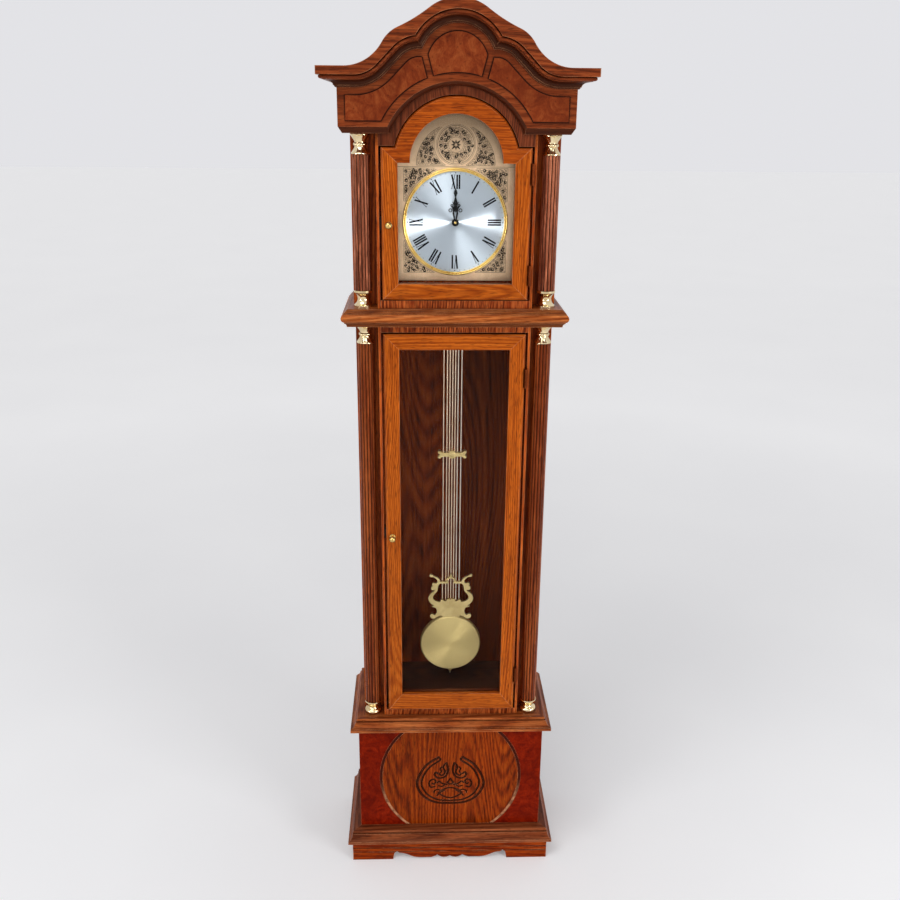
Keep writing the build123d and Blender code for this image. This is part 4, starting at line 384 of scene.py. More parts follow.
oak_waist = wood("oak_waist_across", ((104, 38, 6), (174, 86, 32), (208, 122, 62)), shift=13.8, worn=0.9,
                 painted_shade=waist_lines, **MOULDING)
oak_column = wood("oak_column_upright", ((84, 32, 17), (138, 68, 42), (184, 110, 78)), shift=14.0,
                  painted_shade=reed_grooves(HOOD_COLUMN_X), flecks=0.75, **COLUMN)
oak_column_low = wood("oak_column_low", ((88, 28, 6), (130, 54, 18), (166, 84, 38)), shift=14.5,
                      painted_shade=reed_grooves(TRUNK_COLUMN_X), flecks=0.4, **COLUMN)
floor_wood = wood("floor_board_wood", ((40, 18, 9), (70, 34, 18), (90, 50, 28)), "x", shift=15.5, **BOARD)
back_wood = wood("back_board_wood", ((68, 18, 3), (130, 46, 9), (164, 72, 20)), shift=15.0,
                 painted_shade=darker_right, **BOARD)
oak_panel = wood("oak_round_panel", ((72, 20, 2), (136, 46, 4), (166, 70, 12)), shift=10.5, lines=70,
                 figure=4.2, worn=1.0, shine=0.12, painted_shade=panel_groove)
burl_red = burl("burl_veneer_red", ((86, 8, 0), (124, 22, 1), (150, 36, 5)), 0.08)
burl_brown = burl("burl_veneer_brown", ((90, 30, 9), (126, 50, 19), (150, 72, 33)), 0.2)
string = plain("dark_stringing", (34, 11, 4), (48, 18, 7), 0.6, shine=0.05)
pale_gold = metal("pale_gold_plate", (244, 226, 184), (200, 168, 116), 0.14)
brass = metal("polished_brass_metal", (226, 194, 120), (176, 138, 74), 0.2)
dark_bronze = metal("dark_bronze_hinge", (112, 52, 24), (74, 30, 12), 0.5)
lyre_brass = metal("satin_brass_plate", (208, 184, 130), (172, 146, 96), 0.34, (400, 400, 60), 0.08)
rod_brass = metal("rod_brass", (232, 206, 182), (200, 166, 136), 0.3)
rod_steel = metal("rod_silvered", (230, 213, 197), (190, 171, 154), 0.3)
bob_brass = spun("spun_brass_bob", (206, 184, 128), (190, 168, 112), 0.56, 0.65, BOB_Z)
ring_gold = metal("gilt_dial_ring", (240, 206, 128), (214, 174, 92), 0.26)
# The dial plate gets a painted shadow towards the top of its arch.
bronze = metal("antique_bronze_plate", (236, 202, 166), (198, 164, 130), 0.36, (500, 500, 14), 0.06,
               plate_painted_shadow)
etched = plain("etched_dark_metal", (50, 40, 32), (34, 27, 21), 0.6, shine=0.1)
silver = spun("silvered_dial_metal", (212, 220, 230), (196, 206, 217), 0.4, 1.0, DIAL_Z)
black = plain("black_hand_enamel", (8, 8, 10), (14, 13, 14), 0.35, shine=0.2)
ink = plain("black_numeral_print", (10, 10, 16), (16, 16, 24), 0.6, shine=0.1)
plastic = plain("black_moulded_plastic", (26, 26, 28), (34, 34, 36), 0.45, 500.0, 0.2)
catch_brown = plain("catch_brown_plastic", (70, 32, 14), (56, 24, 10), 0.5, 500.0, 0.2)
wrap = plain("battery_sleeve_print", (38, 66, 96), (30, 52, 80), 0.3)
steel = metal("zinc_steel", (190, 192, 196), (150, 150, 152), 0.3, (200, 200, 60))
glass = clear_glass("window_glass")

# The nodes that are shown as they come from the CAD.
NODE_MATERIALS = [
    (oak_case_z, "apron_sides base_sides trunk_sides hood_sides"),
    (oak_post, "trunk_posts hood_posts"),
    (oak_rail, "front_rails"),
    (oak_crown_y, "frieze_sides"),
    (oak_frieze, "frieze_board"),
    (oak_door_z, "hood_door_stiles trunk_door_stiles"),
    (oak_door_x, "hood_door_bottom_rail trunk_door_rails"),
    (oak_door_top, "hood_door_arch_rail"),
    (oak_dark, "hood_arch_board hood_door_beads trunk_door_beads"),
    (oak_apron, "apron_front"),
    (oak_plinth, "plinth_moulding"),
    (oak_shelf, "shelf_moulding"),
    (oak_waist, "waist_moulding"),
    (oak_column, "hood_columns"),
    (oak_column_low, "trunk_columns"),
    (floor_wood, "base_floor trunk_floor roof_board"),
    (back_wood, "back_panel dial_board"),
    (burl_red, "base_front_board"),
    (burl_brown, "frieze_burl_panels"),
    (pale_gold, "column_bases"),
    (brass, "shaft_nut hood_door_knob trunk_door_knob"),
    (dark_bronze, "case_hinge_leaves hood_door_hinge_leaves trunk_door_hinge_leaves"),
    (lyre_brass, "pendulum_lyre"),
    (bronze, "dial_plate dial_medallion"),
    (silver, "dial_disc"),
    (plastic, "movement_case"),
    (catch_brown, "door_catches"),
    (wrap, "movement_battery"),
    (steel, "hood_strike_plate trunk_strike_plate pendulum_hanger"),
    (glass, "hood_door_glass trunk_door_glass"),
]
for material, names in NODE_MATERIALS:
    for name in names.split():
        for place in nodes[name].material_slots:
            place.material = material


# ---- Mesh helpers: points are in millimetres ----
def fill(*loops):
    """Triangles that fill a flat outline, less any holes given after it."""
    flat = [[Vector((a, b, 0)) for a, b in loop] for loop in loops]
    return [tuple(t) for t in tessellate_polygon(flat)]


def strip(count, closed=True):
    """Faces between two rows of as many points, of which the first row comes first."""
    quads = [(i, (i + 1) % count, count + (i + 1) % count, count + i) for i in range(count)]
    return quads if closed else quads[:-1]


class Parts:
    """Points and faces gathered from several solids."""

    def __init__(self):
        self.points = []
        self.faces = []

    def add(self, points, faces):
        start = len(self.points)
        self.points += [tuple(p) for p in points]
        self.faces += [tuple(start + i for i in face) for face in faces]

    def lid(self, border, a=0, b=2):
        """A flat face inside a border, which is filled by its x and z or by two other axes."""
        self.add(border, fill([(p[a], p[b]) for p in border]))

    def prism(self, outline, front, back):
        """A flat solid from an outline in x and z, between two places in depth."""
        count = len(outline)
        points = [(x, y, z) for y in (front, back) for x, z in outline]
        tops = fill(outline)
        self.add(points, tops + [tuple(count + i for i in reversed(t)) for t in tops] + strip(count))

    def ribbon(self, line, widths, front, back, closed=False):
        """A flat band along a line in x and z, with a width at each of its points."""
        line = np.array(line, float)
        widths = np.broadcast_to(np.asarray(widths, float), (len(line),))
        ahead = np.roll(line, -1, 0) - np.roll(line, 1, 0) if closed else np.gradient(line, axis=0)
        ahead /= np.maximum(np.linalg.norm(ahead, axis=1), 1e-9)[:, None]
        side = np.stack([-ahead[:, 1], ahead[:, 0]], 1) * widths[:, None] / 2
        count = len(line)
        left, right = line + side, line - side
        points = [(x, y, z) for y in (front, back) for edge in (left, right) for x, z in edge]
        faces = []
        for i in range(count if closed else count - 1):
            j = (i + 1) % count
            (a, a2), (b, b2), (c, c2), (d, d2) = [(k * count + i, k * count + j) for k in range(4)]
            faces += [(a, a2, b2, b), (c, d, d2, c2), (a, c, c2, a2), (b, b2, d2, d)]
        if not closed:
            end = (0, count, 3 * count, 2 * count)
            faces += [end, tuple(count - 1 + i for i in reversed(end))]
        self.add(points, faces)

    def lathe(self, outline, centre, steps, axis="z", wave=None):
        """A turned solid from its outline in radius and height. A wave makes the radius larger by turns."""
        points, rings = [], []
        for radius, height in outline:
            around = steps if radius else 1
            rings.append(range(len(points), len(points) + around))
            for step in range(around):
                angle = TAU * step / steps
                grown = radius + (wave(height, angle) if wave and radius else 0)
                points.append((grown * math.cos(angle), grown * math.sin(angle), height))
        faces = []
        for low, high in zip(rings, rings[1:]):
            for step in range(steps):
                after = (step + 1) % steps
                corners = ((low, step), (low, after), (high, after), (high, step))
                face = tuple(dict.fromkeys(ring[at % len(ring)] for ring, at in corners))
                if len(face) > 2:
                    faces.append(face)
        if axis == "y":
            points = [(x, z, y) for x, y, z in points]
        cx, cy, cz = centre
        self.add([(x + cx, y + cy, z + cz) for x, y, z in points], faces)

    def tube(self, line, radius, sides=10):
        """A round bead along a line of points in space."""
        line = np.array(line, float)
        points, count = [], len(line)
        for centre, way in zip(line, np.gradient(line, axis=0)):
            way = Vector(way).normalized()
            one = way.orthogonal() if abs(way.y) > 0.9 else Vector((0, 1, 0)).cross(way).normalized()
            two = way.cross(one)
            for side in range(sides):
                angle = TAU * side / sides
                points.append(Vector(centre) + radius * (math.cos(angle) * one + math.sin(angle) * two))
        faces = [tuple(range(sides)), tuple(range((count - 1) * sides, count * sides))]
        faces += [tuple(i * sides + k for k in face) for i in range(count - 1) for face in strip(sides)]
        self.add(points, faces)


def placed(name, data):
    """A new object in the scene."""
    made = bpy.data.objects.new(name, data)
    bpy.context.collection.objects.link(made)
    return made


def make(name, parts, material, body, smooth=None):
    """A piece from gathered parts. Smooth is the angle in degrees below which edges look round."""
    mesh = bpy.data.meshes.new(name)
    mesh.from_pydata([Vector(p) * MM for p in parts.points], [], parts.faces)
    shape = bmesh.new()
    shape.from_mesh(mesh)
    bmesh.ops.remove_doubles(shape, verts=shape.verts, dist=1e-6)
    bmesh.ops.recalc_face_normals(shape, faces=shape.faces)
    shape.to_mesh(mesh)
    shape.free()
    if smooth:
        mesh.polygons.foreach_set("use_smooth", [True] * len(mesh.polygons))
        mesh.set_sharp_from_angle(angle=math.radians(smooth))
    mesh.materials.append(material)
    piece = placed(name, mesh)
    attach(piece, body)
    return piece


def arc(centre, radius, start, end, count):
    """Points of an arc in x and z: degrees from the right, anticlockwise. An oval has two radii."""
    wide, tall = radius if isinstance(radius, tuple) else (radius, radius)
    angles = np.radians(np.linspace(start, end, count))
    return [(centre[0] + wide * math.cos(a), centre[1] + tall * math.sin(a)) for a in angles]


def curve(points, count):
    """A smooth line through points."""
    p = np.array([points[0], *points, points[-1]], float)
    out = []
    for i in range(1, len(p) - 2):
        a, b, c, d = p[i - 1:i + 3]
        for t in np.linspace(0, 1, count, endpoint=False):
            out.append(0.5 * (2 * b + (c - a) * t + (2 * a - 5 * b + 4 * c - d) * t**2
                              + (3 * b - a - 3 * c + d) * t**3))
    out.append(p[-2])
    return [tuple(q) for q in out]


def turned(points, angle, x, z):
    """Points turned anticlockwise about their origin, which then lies at x and z."""
    c, s = math.cos(angle), math.sin(angle)
    return [(x + u * c - v * s, z + u * s + v * c) for u, v in points]


def mirrored(half):
    """A whole outline from its right half, which starts and ends in the middle."""
    return half + [(-x, z) for x, z in reversed(half[1:-1])]


def both_sides(line):
    """A line from left to right from its right half, which starts in the middle."""
    return [(-x, z) for x, z in reversed(line[1:])] + line


# ---- Crown: a moulding that follows the arched edge ----
HEAD_RADIUS, LOBE_RADIUS, SWEEP_RADIUS = 69, 46, 80
HEAD, LOBE = (0.0, FRIEZE_TOP + 40.1), (70.0, FRIEZE_TOP + 19.5)
SWEEP_Z = FRIEZE_TOP + SWEEP_RADIUS
SWEEP = (LOBE[0] + LOBE[1] + (LOBE_RADIUS + SWEEP_RADIUS) / math.sqrt(0.5) - SWEEP_Z, SWEEP_Z)
# The upper edge's arcs: the radii of all but the last, and the slopes in degrees where they meet.
CREST_RADII, CREST_SLOPES = [88, 296, 60.5], (0, 36, 23.5, 59, 0)
CREST_DROP = 0.06


def moulded_edge(grow, half):
    """The right half of the crown's lower edge, grown outward by grow, from the middle to half."""
    head, lobe = HEAD_RADIUS + grow, LOBE_RADIUS + grow
    dx, dz = LOBE[0] - HEAD[0], LOBE[1] - HEAD[1]
    apart = math.hypot(dx, dz)
    along = (apart**2 + head**2 - lobe**2) / (2 * apart)
    up = math.sqrt(head**2 - along**2)
    meet = (HEAD[0] + (along * dx - up * dz) / apart, HEAD[1] + (along * dz + up * dx) / apart)
    head_angle, lobe_angle = (math.degrees(math.atan2(meet[1] - z, meet[0] - x)) for x, z in (HEAD, LOBE))
    line = arc(HEAD, head, 90, head_angle, 24)
    line += arc(LOBE, lobe, lobe_angle, 45, 16)[1:]
    line += arc(SWEEP, SWEEP_RADIUS - grow, 225, 270, 16)
    return line + [(half, FRIEZE_TOP + grow)]


def crown_edge(half):
    """The right half of the crown's upper edge, a little below the CAD's, from the middle to half."""
    slopes = [math.radians(slope) for slope in CREST_SLOPES]
    falls = [abs(math.cos(a) - math.cos(b)) for a, b in zip(slopes, slopes[1:])]
    fall = sum(radius * part for radius, part in zip(CREST_RADII, falls))
    last = (CROWN_TOP - CORNICE_TOP - fall) / falls[-1]
    x, z = 0.0, CROWN_TOP
    line = [(x, z)]
    for radius, start, end in zip(CREST_RADII + [last], slopes, slopes[1:]):
        for step in range(1, 21):
            now = start + (end - start) * step / 20
            line.append((x + radius * abs(math.sin(now) - math.sin(start)),
                         z - radius * abs(math.cos(start) - math.cos(now))))
        x, z = line[-1]
    line.append((half, CORNICE_TOP))
    return [(px, pz - CREST_DROP) for px, pz in line]


# Rise above the frieze's edge and distance out, from the frieze to the fascia.
CROWN_PROFILE = [(0.0, FRIEZE_OUT), (0.0, 23.2), (1.6, 24.2), (2.8, 24.6), (3.2, 26.2)]
CROWN_PROFILE += arc((3.2, 42.2), (9.3, 16), -82, 0, 10)
CROWN_PROFILE += [(12.5, 43.6), (13.6, 43.6)]
CROWN_PROFILE += arc((16.9, 46.9), (3.4, 3.6), 200, 10, 12)
CROWN_PROFILE += [(20.3, 49.8), (20.3, FASCIA_OUT)]

crown = Parts()
edges = [(out, moulded_edge(grow, TRUNK_HALF + out)) for grow, out in CROWN_PROFILE]
edges += [(out, crown_edge(TRUNK_HALF + out)) for out in (FASCIA_OUT, FRIEZE_OUT)]
rings = [[(x, FRONT - out, z) for x, z in both_sides(edge)] for out, edge in edges]
for low, high in zip(rings, rings[1:]):
    if len(low) == len(high):
        crown.add(low + high, strip(len(low), closed=False))
    else:
        crown.lid(low + high[::-1])
crown.lid(rings[0] + rings[-1][::-1])
for side in (0, -1):
    crown.lid([ring[side] for ring in rings], 1, 2)
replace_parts(make("crown_front", crown, oak_crown, "case", 40), "crown_moulding")

returns = Parts()
section = [(TRUNK_HALF + out, FRIEZE_TOP + grow, out) for grow, out in CROWN_PROFILE]
section += [(TRUNK_HALF + out, CORNICE_TOP, out) for out in (FASCIA_OUT, FRIEZE_OUT)]
flat = fill([(x, z) for x, z, out in section])
flat += [tuple(len(section) + i for i in t) for t in flat]
for side in (-1, 1):
    fronts = [(side * x, FRONT - out + 0.1, z) for x, z, out in section]
    backs = [(side * x, BACK, z) for x, z, out in section]
    returns.add(fronts + backs, strip(len(section)) + flat)
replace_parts(make("crown_side_returns", returns, oak_crown_y, "case", 40), "crown_returns")


# ---- Frieze: dark stringing round the burl panels ----
def face_loops(node, front):
    """The outlines, in x and z millimetres, of a node's faces that lie at a given depth."""
    shape = bmesh.new()
    shape.from_mesh(nodes[node].data)
    flat = {f for f in shape.faces if all(abs(v.co.y / MM - front) < 0.02 for v in f.verts)}
    after = {}
    for face in flat:
        for loop in face.loops:
            if not any(f is not face and f in flat for f in loop.edge.link_faces):
                after[loop.vert.index] = loop.link_loop_next.vert.index
    places = {v.index: (v.co.x / MM, v.co.z / MM) for v in shape.verts}
    shape.free()
    outlines = []
    while after:
        at = next(iter(after))
        outline = []
        while at in after:
            outline.append(places[at])
            at = after.pop(at)
        outlines.append(outline)
    return outlines


FRIEZE_FACE = FRONT - FRIEZE_OUT
stringing = Parts()
for outline in face_loops("frieze_burl_panels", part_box("frieze_burl_panels")[0][1] / MM):
    kept = [p for p, q in zip(outline, outline[1:] + outline[:1]) if math.dist(p, q) > 0.2]
    stringing.ribbon(kept, 2.0, FRIEZE_FACE - 1.35, FRIEZE_FACE + 0.2, closed=True)
make("frieze_stringing", stringing, string, "case")

# ---- Dial: numerals, minute marks and hands ----
DISC_FRONT, PLATE_FRONT, MEDAL_FRONT = -37.3, -36.5, -38.0
DISC_INK = (DISC_FRONT - 0.12, DISC_FRONT + 0.05)
NUMERAL_LOW, NUMERAL_HIGH, MINUTE_RADIUS = 63.5, 89.5, 93.2
LETTER_WIDTHS, LETTER_GAP = {"I": 0.0, "V": 5.4, "X": 6.0}, 4.5
THICK, THIN, SERIF, SERIF_HALF = 3.2, 1.1, 0.6, 1.7
numerals = Parts()


def stroke(angle, a, b, width):
    """A bar between two points given as across and outward, at a clockwise angle from 12."""
    numerals.ribbon(turned((a, b), -angle, 0, DIAL_Z), width, *DISC_INK)


def numeral(text, angle):
    """A Roman numeral that stands on the dial's centre."""
    low, high = NUMERAL_LOW, NUMERAL_HIGH
    at = -(sum(LETTER_WIDTHS[letter] for letter in text) + LETTER_GAP * (len(text) - 1)) / 2
    for letter in text:
        far = at + LETTER_WIDTHS[letter]
        if letter == "I":
            serifs = [(at, low), (at, high)]
            stroke(angle, *serifs, THICK)
        elif letter == "V":
            serifs = [(at, high), (far, high)]
            for top, width in zip(serifs, (THICK, THIN)):
                stroke(angle, top, ((at + far) / 2, low), width)
        else:
            serifs = [(at, high), (far, high), (at, low), (far, low)]
            stroke(angle, (at, high), (far, low), THICK)
            stroke(angle, (far, high), (at, low), THIN)
        for u, v in serifs:
            stroke(angle, (u - SERIF_HALF, v), (u + SERIF_HALF, v), SERIF)
        at = far + LETTER_GAP


for hour, text in enumerate("XII I II III IV V VI VII VIII IX X XI".split()):
    numeral(text, TAU * hour / 12)
for minute in range(60):
    size = 1.9 if minute % 5 == 0 else 1.2
    stroke(TAU * minute / 60, (-size / 2, MINUTE_RADIUS), (size / 2, MINUTE_RADIUS), size)
make("dial_numerals", numerals, ink, "case")


def hand(name, length, loop, front, boss_front, node):
    """A black serpentine hand with two side loops. The minute hand's tip is a leaf."""
    parts = Parts()
    back = front + 1.0
    long_hand = node == "minute_hand"
    reach = 0.7 if long_hand else 1.0
    for side in (-1, 1):
        stem = [(side * 1.2, 5), (side * 2.6, loop * 0.45), (side * 4.4, loop * 0.85), (side * 0.8, loop + 1)]
        stem = turned(curve(stem, 6), 0, 0, DIAL_Z)
        parts.ribbon(stem, np.linspace(2.6, 1.8, len(stem)), front, back)
        petal = [(side * 1.5, loop - 2), (side * 5 * reach, loop + 2)]
        petal += [(side * 9.6 * reach, loop + 12 * reach), (side * 5.6 * reach, loop + 9 * reach)]
        petal += [(side * 2.0, loop + 3.5)]
        parts.prism(turned(petal, 0, 0, DIAL_Z), front, back)
        ring = arc((side * 9.8 * reach, DIAL_Z + loop + 1.2), 3.0 * reach, 0, 360, 15)[:-1]
        parts.ribbon(ring, 1.5, front, back, closed=True)
    bulb = [(0, loop - 3), (4.3, loop + 6), (2.4, loop + 12.5), (0.9, loop + 17)]
    leaf = [(1.1, length - 16), (3.9, length - 9), (2.4, length - 4), (0, length)]
    half = bulb + leaf if long_hand else bulb[:3] + [(0, length)]
    parts.prism(turned(mirrored(half), 0, 0, DIAL_Z), front, back)
    inner, out = (1.56 if long_hand else 2.56), boss_front - back
    boss = [(inner, 0), (7.0, 0), (7.0, -0.9), (6.2, out), (inner, out), (inner, 0)]
    parts.lathe(boss, (0, back, DIAL_Z), 32, "y")
    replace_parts(make(name, parts, black, node, 40), node)


hand("hour_hand_blade", 47, 22, -41.4, -41.9, "hour_hand")
hand("minute_hand_blade", 65, 31.5, -44.4, -45.2, "minute_hand")

pin = Parts()
pin.lathe([(0, 0), (2.4, 0), (2.5, -0.4), (1.9, -1.1), (0, -1.5)], (0, -45.1, DIAL_Z), 24, "y")
make("hand_nut_cap", pin, brass, "minute_hand", 40)

# ---- Dial plate: etched scrollwork on the plate and the medallion, and the gilt ring ----
PLATE_INK = (PLATE_FRONT - 0.1, PLATE_FRONT + 0.05)
MEDAL_INK = (MEDAL_FRONT - 0.1, MEDAL_FRONT + 0.05)
CORNER_X, CORNER_LOW, CORNER_HIGH, CORNER_ROUND = 100.6, 1392.2, 1591.2, 105.2
LUNETTE_Z, LUNETTE_RADIUS = 1597.0, 75.6
MEDAL_Z, MEDAL_RIM = 1634.0, 41.8
# Near and far side, low and high edge of the areas that scrolls are tried in.
CORNER_AREAS = ((38, 101, 1527, 1592), (38, 101, 1391, 1451))
LUNETTE_AREA = (17, 76, 1595, 1671)
SCROLL_TURN = 1.5 * TAU
etching = Parts()
chance = np.random.RandomState(11)


def curls(inside, area, side, size, depths):
    """Scrolls that fill an area on one side, with buds in the gaps between them."""
    near, far, low, high = area
    left, right = sorted((side * near, side * far))
    placed = []
    for x, z, share in chance.uniform(0, 1, (9000, 3)):
        x, z = left + x * (right - left), low + z * (high - low)
        big = len(placed) < 14 or share > 0.75
        radius = size * (0.75 + 0.25 * share) if big else 0.42 * size * (0.6 + 0.6 * share)
        if not inside(x, z, radius * 0.8):
            continue
        if any((x - px) ** 2 + (z - pz) ** 2 < (0.64 * (radius + pr)) ** 2 for px, pz, pr in placed):
            continue
        placed.append((x, z, radius))
        way, begin = (1 if len(placed) % 2 else -1), chance.uniform(0, TAU)
        if radius < 0.55 * size:
            bud = [(1.05 * radius, 0), (0, 0.6 * radius), (-1.05 * radius, 0), (0, -0.6 * radius)]
            etching.prism(turned(bud, begin, x, z), *depths)
            continue
        line = []
        for turn in np.linspace(0, SCROLL_TURN, 19):
            wound, angle = radius * (1 - 0.7 * turn / SCROLL_TURN), begin + way * turn
            line.append((x + wound * math.cos(angle), z + wound * math.sin(angle)))
        etching.ribbon(line, np.linspace(2.0, 0.9, 19), *depths)


def in_corner(x, z, room):
    framed = CORNER_LOW + 1 < z - room and z + room < CORNER_HIGH - 1 and abs(x) + room < CORNER_X - 1
    return framed and math.hypot(x, z - DIAL_Z) - room > CORNER_ROUND - 0.6


def in_lunette(x, z, room):
    outer = math.hypot(x, z - LUNETTE_Z) + room < LUNETTE_RADIUS - 0.6
    return outer and z - room > LUNETTE_Z - 0.4 and math.hypot(x, z - MEDAL_Z) - room > MEDAL_RIM + 0.8


def in_medal(x, z, room):
    away = math.hypot(x, z - MEDAL_Z)
    return 14.5 < away - room and away + room < 33.2


def plate_line(line, width, side=1):
    """A line etched in the plate, on one side."""
    etching.ribbon([(side * x, z) for x, z in line], width, *PLATE_INK)


for side in (-1, 1):
    for area in CORNER_AREAS:
        curls(in_corner, area, side, 3.1, PLATE_INK)
    curls(in_lunette, LUNETTE_AREA, side, 3.0, PLATE_INK)
    for corner_z, end_z in ((CORNER_HIGH, CORNER_HIGH - 62), (CORNER_LOW, CORNER_LOW + 62)):
        plate_line([(40, corner_z), (CORNER_X, corner_z)], 0.7, side)
        plate_line([(CORNER_X, corner_z), (CORNER_X, end_z)], 0.7, side)
        start = math.degrees(math.atan2(end_z - DIAL_Z, CORNER_X))
        end = math.degrees(math.atan2(corner_z - DIAL_Z, 40))
        plate_line(arc((0, DIAL_Z), CORNER_ROUND, start * 0.98, end, 20), 0.7, side)
    plate_line(arc((0, LUNETTE_Z), LUNETTE_RADIUS, 0, 66, 20), 0.8, side)
    plate_line([(20, LUNETTE_Z - 0.8), (LUNETTE_RADIUS, LUNETTE_Z - 0.8)], 0.8, side)
    plate_line(arc((0, MEDAL_Z), MEDAL_RIM, -62, 50, 24), 0.6, side)
plate_line([(-124.5, 1593.7), (124.5, 1593.7)], 0.7)

for radius, width in ((37.4, 0.5), (35.0, 0.9), (14.0, 0.6)):
    etching.ribbon(arc((0, MEDAL_Z), radius, 0, 360, 64)[:-1], width, *MEDAL_INK, closed=True)
curls(in_medal, (-34, 34, MEDAL_Z - 34, MEDAL_Z + 34), 1, 3.1, MEDAL_INK)
for petal in range(8):
    tip = 12.6 if petal % 2 else 10.0
    diamond = [(1.4, 0), (tip * 0.45, 2.0), (tip, 0), (tip * 0.45, -2.0)]
    etching.prism(turned(diamond, TAU * petal / 8, 0, MEDAL_Z), *MEDAL_INK)
make("dial_etching", etching, etched, "case")

gilt = Parts()
bead = [(96.0, PLATE_FRONT), (96.0, -38.4)] + arc((97.6, -38.6), (1.6, 1.7), 190, 350, 7)
bead += arc((101.1, -38.6), 1.9, 190, 350, 8)
bead += [(103.0, -38.0), (103.0, PLATE_FRONT), (96.0, PLATE_FRONT)]
gilt.lathe(bead, (0, 0, DIAL_Z), 128, "y")
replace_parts(make("dial_gilt_ring", gilt, ring_gold, "case", 50), "dial_ring")

# ---- Base panel: carved ornament and the beads round it ----
PANEL_HALF, PANEL_RISE = 159.0, 167.0
PANEL_LOW, PANEL_HIGH, PANEL_BACK = 86.1, 356.9, PANEL_FRONT + 4
CUT_DEPTH, CUT_SPREAD, CUT_STEP = 3.2, 0.62, 0.8
# The carved lines of the left half and their widths.
CARVED = [
    ([(-28, 275), (-54, 256), (-70, 231), (-78.4, 204), (-73, 181), (-56, 159), (-31, 147), (0, 145)], 5.2),
    ([(-25, 266), (-47, 249), (-61, 228), (-68, 204), (-63, 185), (-50, 167), (-28, 155), (0, 152.5)], 4.0),
    ([(-29, 274), (-24, 271), (-25, 266)], 4.0),
    ([(-9, 259), (-6, 247), (-6, 235), (-11, 222), (-21, 217), (-31, 218), (-37, 226), (-34, 233),
      (-29, 229)], 4.2),
    ([(-9, 259), (-15, 253), (-16, 244), (-12.5, 236), (-15.5, 227.5), (-22, 224), (-25.5, 229)], 3.6),
    ([(-16, 247), (-21, 247.5), (-24, 242), (-21, 236), (-23, 232)], 3.0),
    ([(-7, 204), (0, 215), (0, 215)], 4.0),
    ([(-7, 204), (-3, 200), (0, 199.6)], 3.4),
    ([(-37, 193), (-46, 191), (-50, 202), (-46, 211), (-38, 213), (-34.5, 207), (-38, 200), (-42, 202)], 3.6),
    ([(-31, 204), (-25.5, 207.5), (-20, 202), (-14, 200), (-8, 198.5)], 3.4),
    ([(-28, 195), (-20, 193), (-14, 196.5)], 3.2),
    ([(0, 189.5), (-8.5, 188), (-20, 182), (-27, 175), (-20, 168), (-9, 162), (0, 160.5)], 3.6),
    ([(-31, 167), (-24, 175), (-14, 182)], 3.2),
    ([(-20, 182), (-30, 184), (-37, 181), (-38, 175)], 3.0),
]
xs = np.arange(-84, 84.01, CUT_STEP)
zs = np.arange(140, 280.01, CUT_STEP)
gx, gz = np.meshgrid(xs, zs)
left_x = -np.abs(gx)
depth = np.zeros_like(gx)
for line, width in CARVED:
    smooth_line = np.array(curve(line, 5))
    for a, b in zip(smooth_line, smooth_line[1:]):
        d = b - a
        length = max(float(d @ d), 1e-9)
        t = np.clip(((left_x - a[0]) * d[0] + (gz - a[1]) * d[1]) / length, 0, 1)
        away = np.hypot(left_x - a[0] - t * d[0], gz - a[1] - t * d[1])
        cut = np.clip(1 - away / (CUT_SPREAD * width), 0, 1)
        depth = np.maximum(depth, CUT_DEPTH * np.sqrt(cut) * min(1.0, width / 2.8))
outline = []
for x, z in arc((0, PANEL_Z), (PANEL_HALF, PANEL_RISE), 0, 357.5, 144):
    if not PANEL_LOW + 0.1 <= z <= PANEL_HIGH - 0.1:
        z = PANEL_LOW if z < PANEL_Z else PANEL_HIGH
        x = math.copysign(PANEL_HALF * math.sqrt(1 - ((z - PANEL_Z) / PANEL_RISE) ** 2), x)
    if not outline or math.hypot(x - outline[-1][0], z - outline[-1][1]) > 0.5:
        outline.append((x, z))
carved_box = [(xs[0], zs[0]), (xs[-1], zs[0]), (xs[-1], zs[-1]), (xs[0], zs[-1])]
wide, tall = len(xs), len(zs)
grid = [(gx[j, i], PANEL_FRONT + depth[j, i], gz[j, i]) for j in range(tall) for i in range(wide)]
panel = Parts()
panel.add([(x, PANEL_FRONT, z) for x, z in outline + carved_box], fill(outline, carved_box))
panel.add([(x, y, z) for y in (PANEL_FRONT, PANEL_BACK) for x, z in outline], strip(len(outline)))
panel.lid([(x, PANEL_BACK, z) for x, z in outline])
panel.add(grid, [tuple(j * wide + k for k in face) for j in range(tall - 1) for face in strip(wide, False)])
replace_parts(make("base_carved_panel", panel, oak_panel, "case", 60), "base_round_panel")

beads = Parts()
for out, inward in ((1.7, 0.9), (4.4, 1.1)):
    foot, limit = (math.degrees(math.asin((z - PANEL_Z) / (PANEL_RISE + out)))
                   for z in (PANEL_LOW + 0.7, PANEL_HIGH - 0.5))
    for side in (-1, 1):
        line = arc((0, PANEL_Z), (side * (PANEL_HALF + out), PANEL_RISE + out), foot, limit, 60)
        beads.tube([(x, PANEL_FRONT + inward, z) for x, z in line], 1.25)
make("base_panel_beads", beads, beads_wear_and_highlight(), "case", 60)

# ---- Capitals: flaring ends with leaves, and a beaded ring between them ----
QUARTER = 1.571


def leaves(height, angle):
    """How far leaf tips and beads stand out at a height and angle."""
    if 15.5 < height < 20.5:
        return 0.6 * abs(math.cos(8 * angle))
    for low, tall, out in ((1.5, 11.5, 1.1), (23, 13, 1.2)):
        if low < height < low + tall:
            return out * abs(math.cos(5 * angle)) * math.sin(math.pi * (height - low) / tall) ** 0.8
    return 0.0


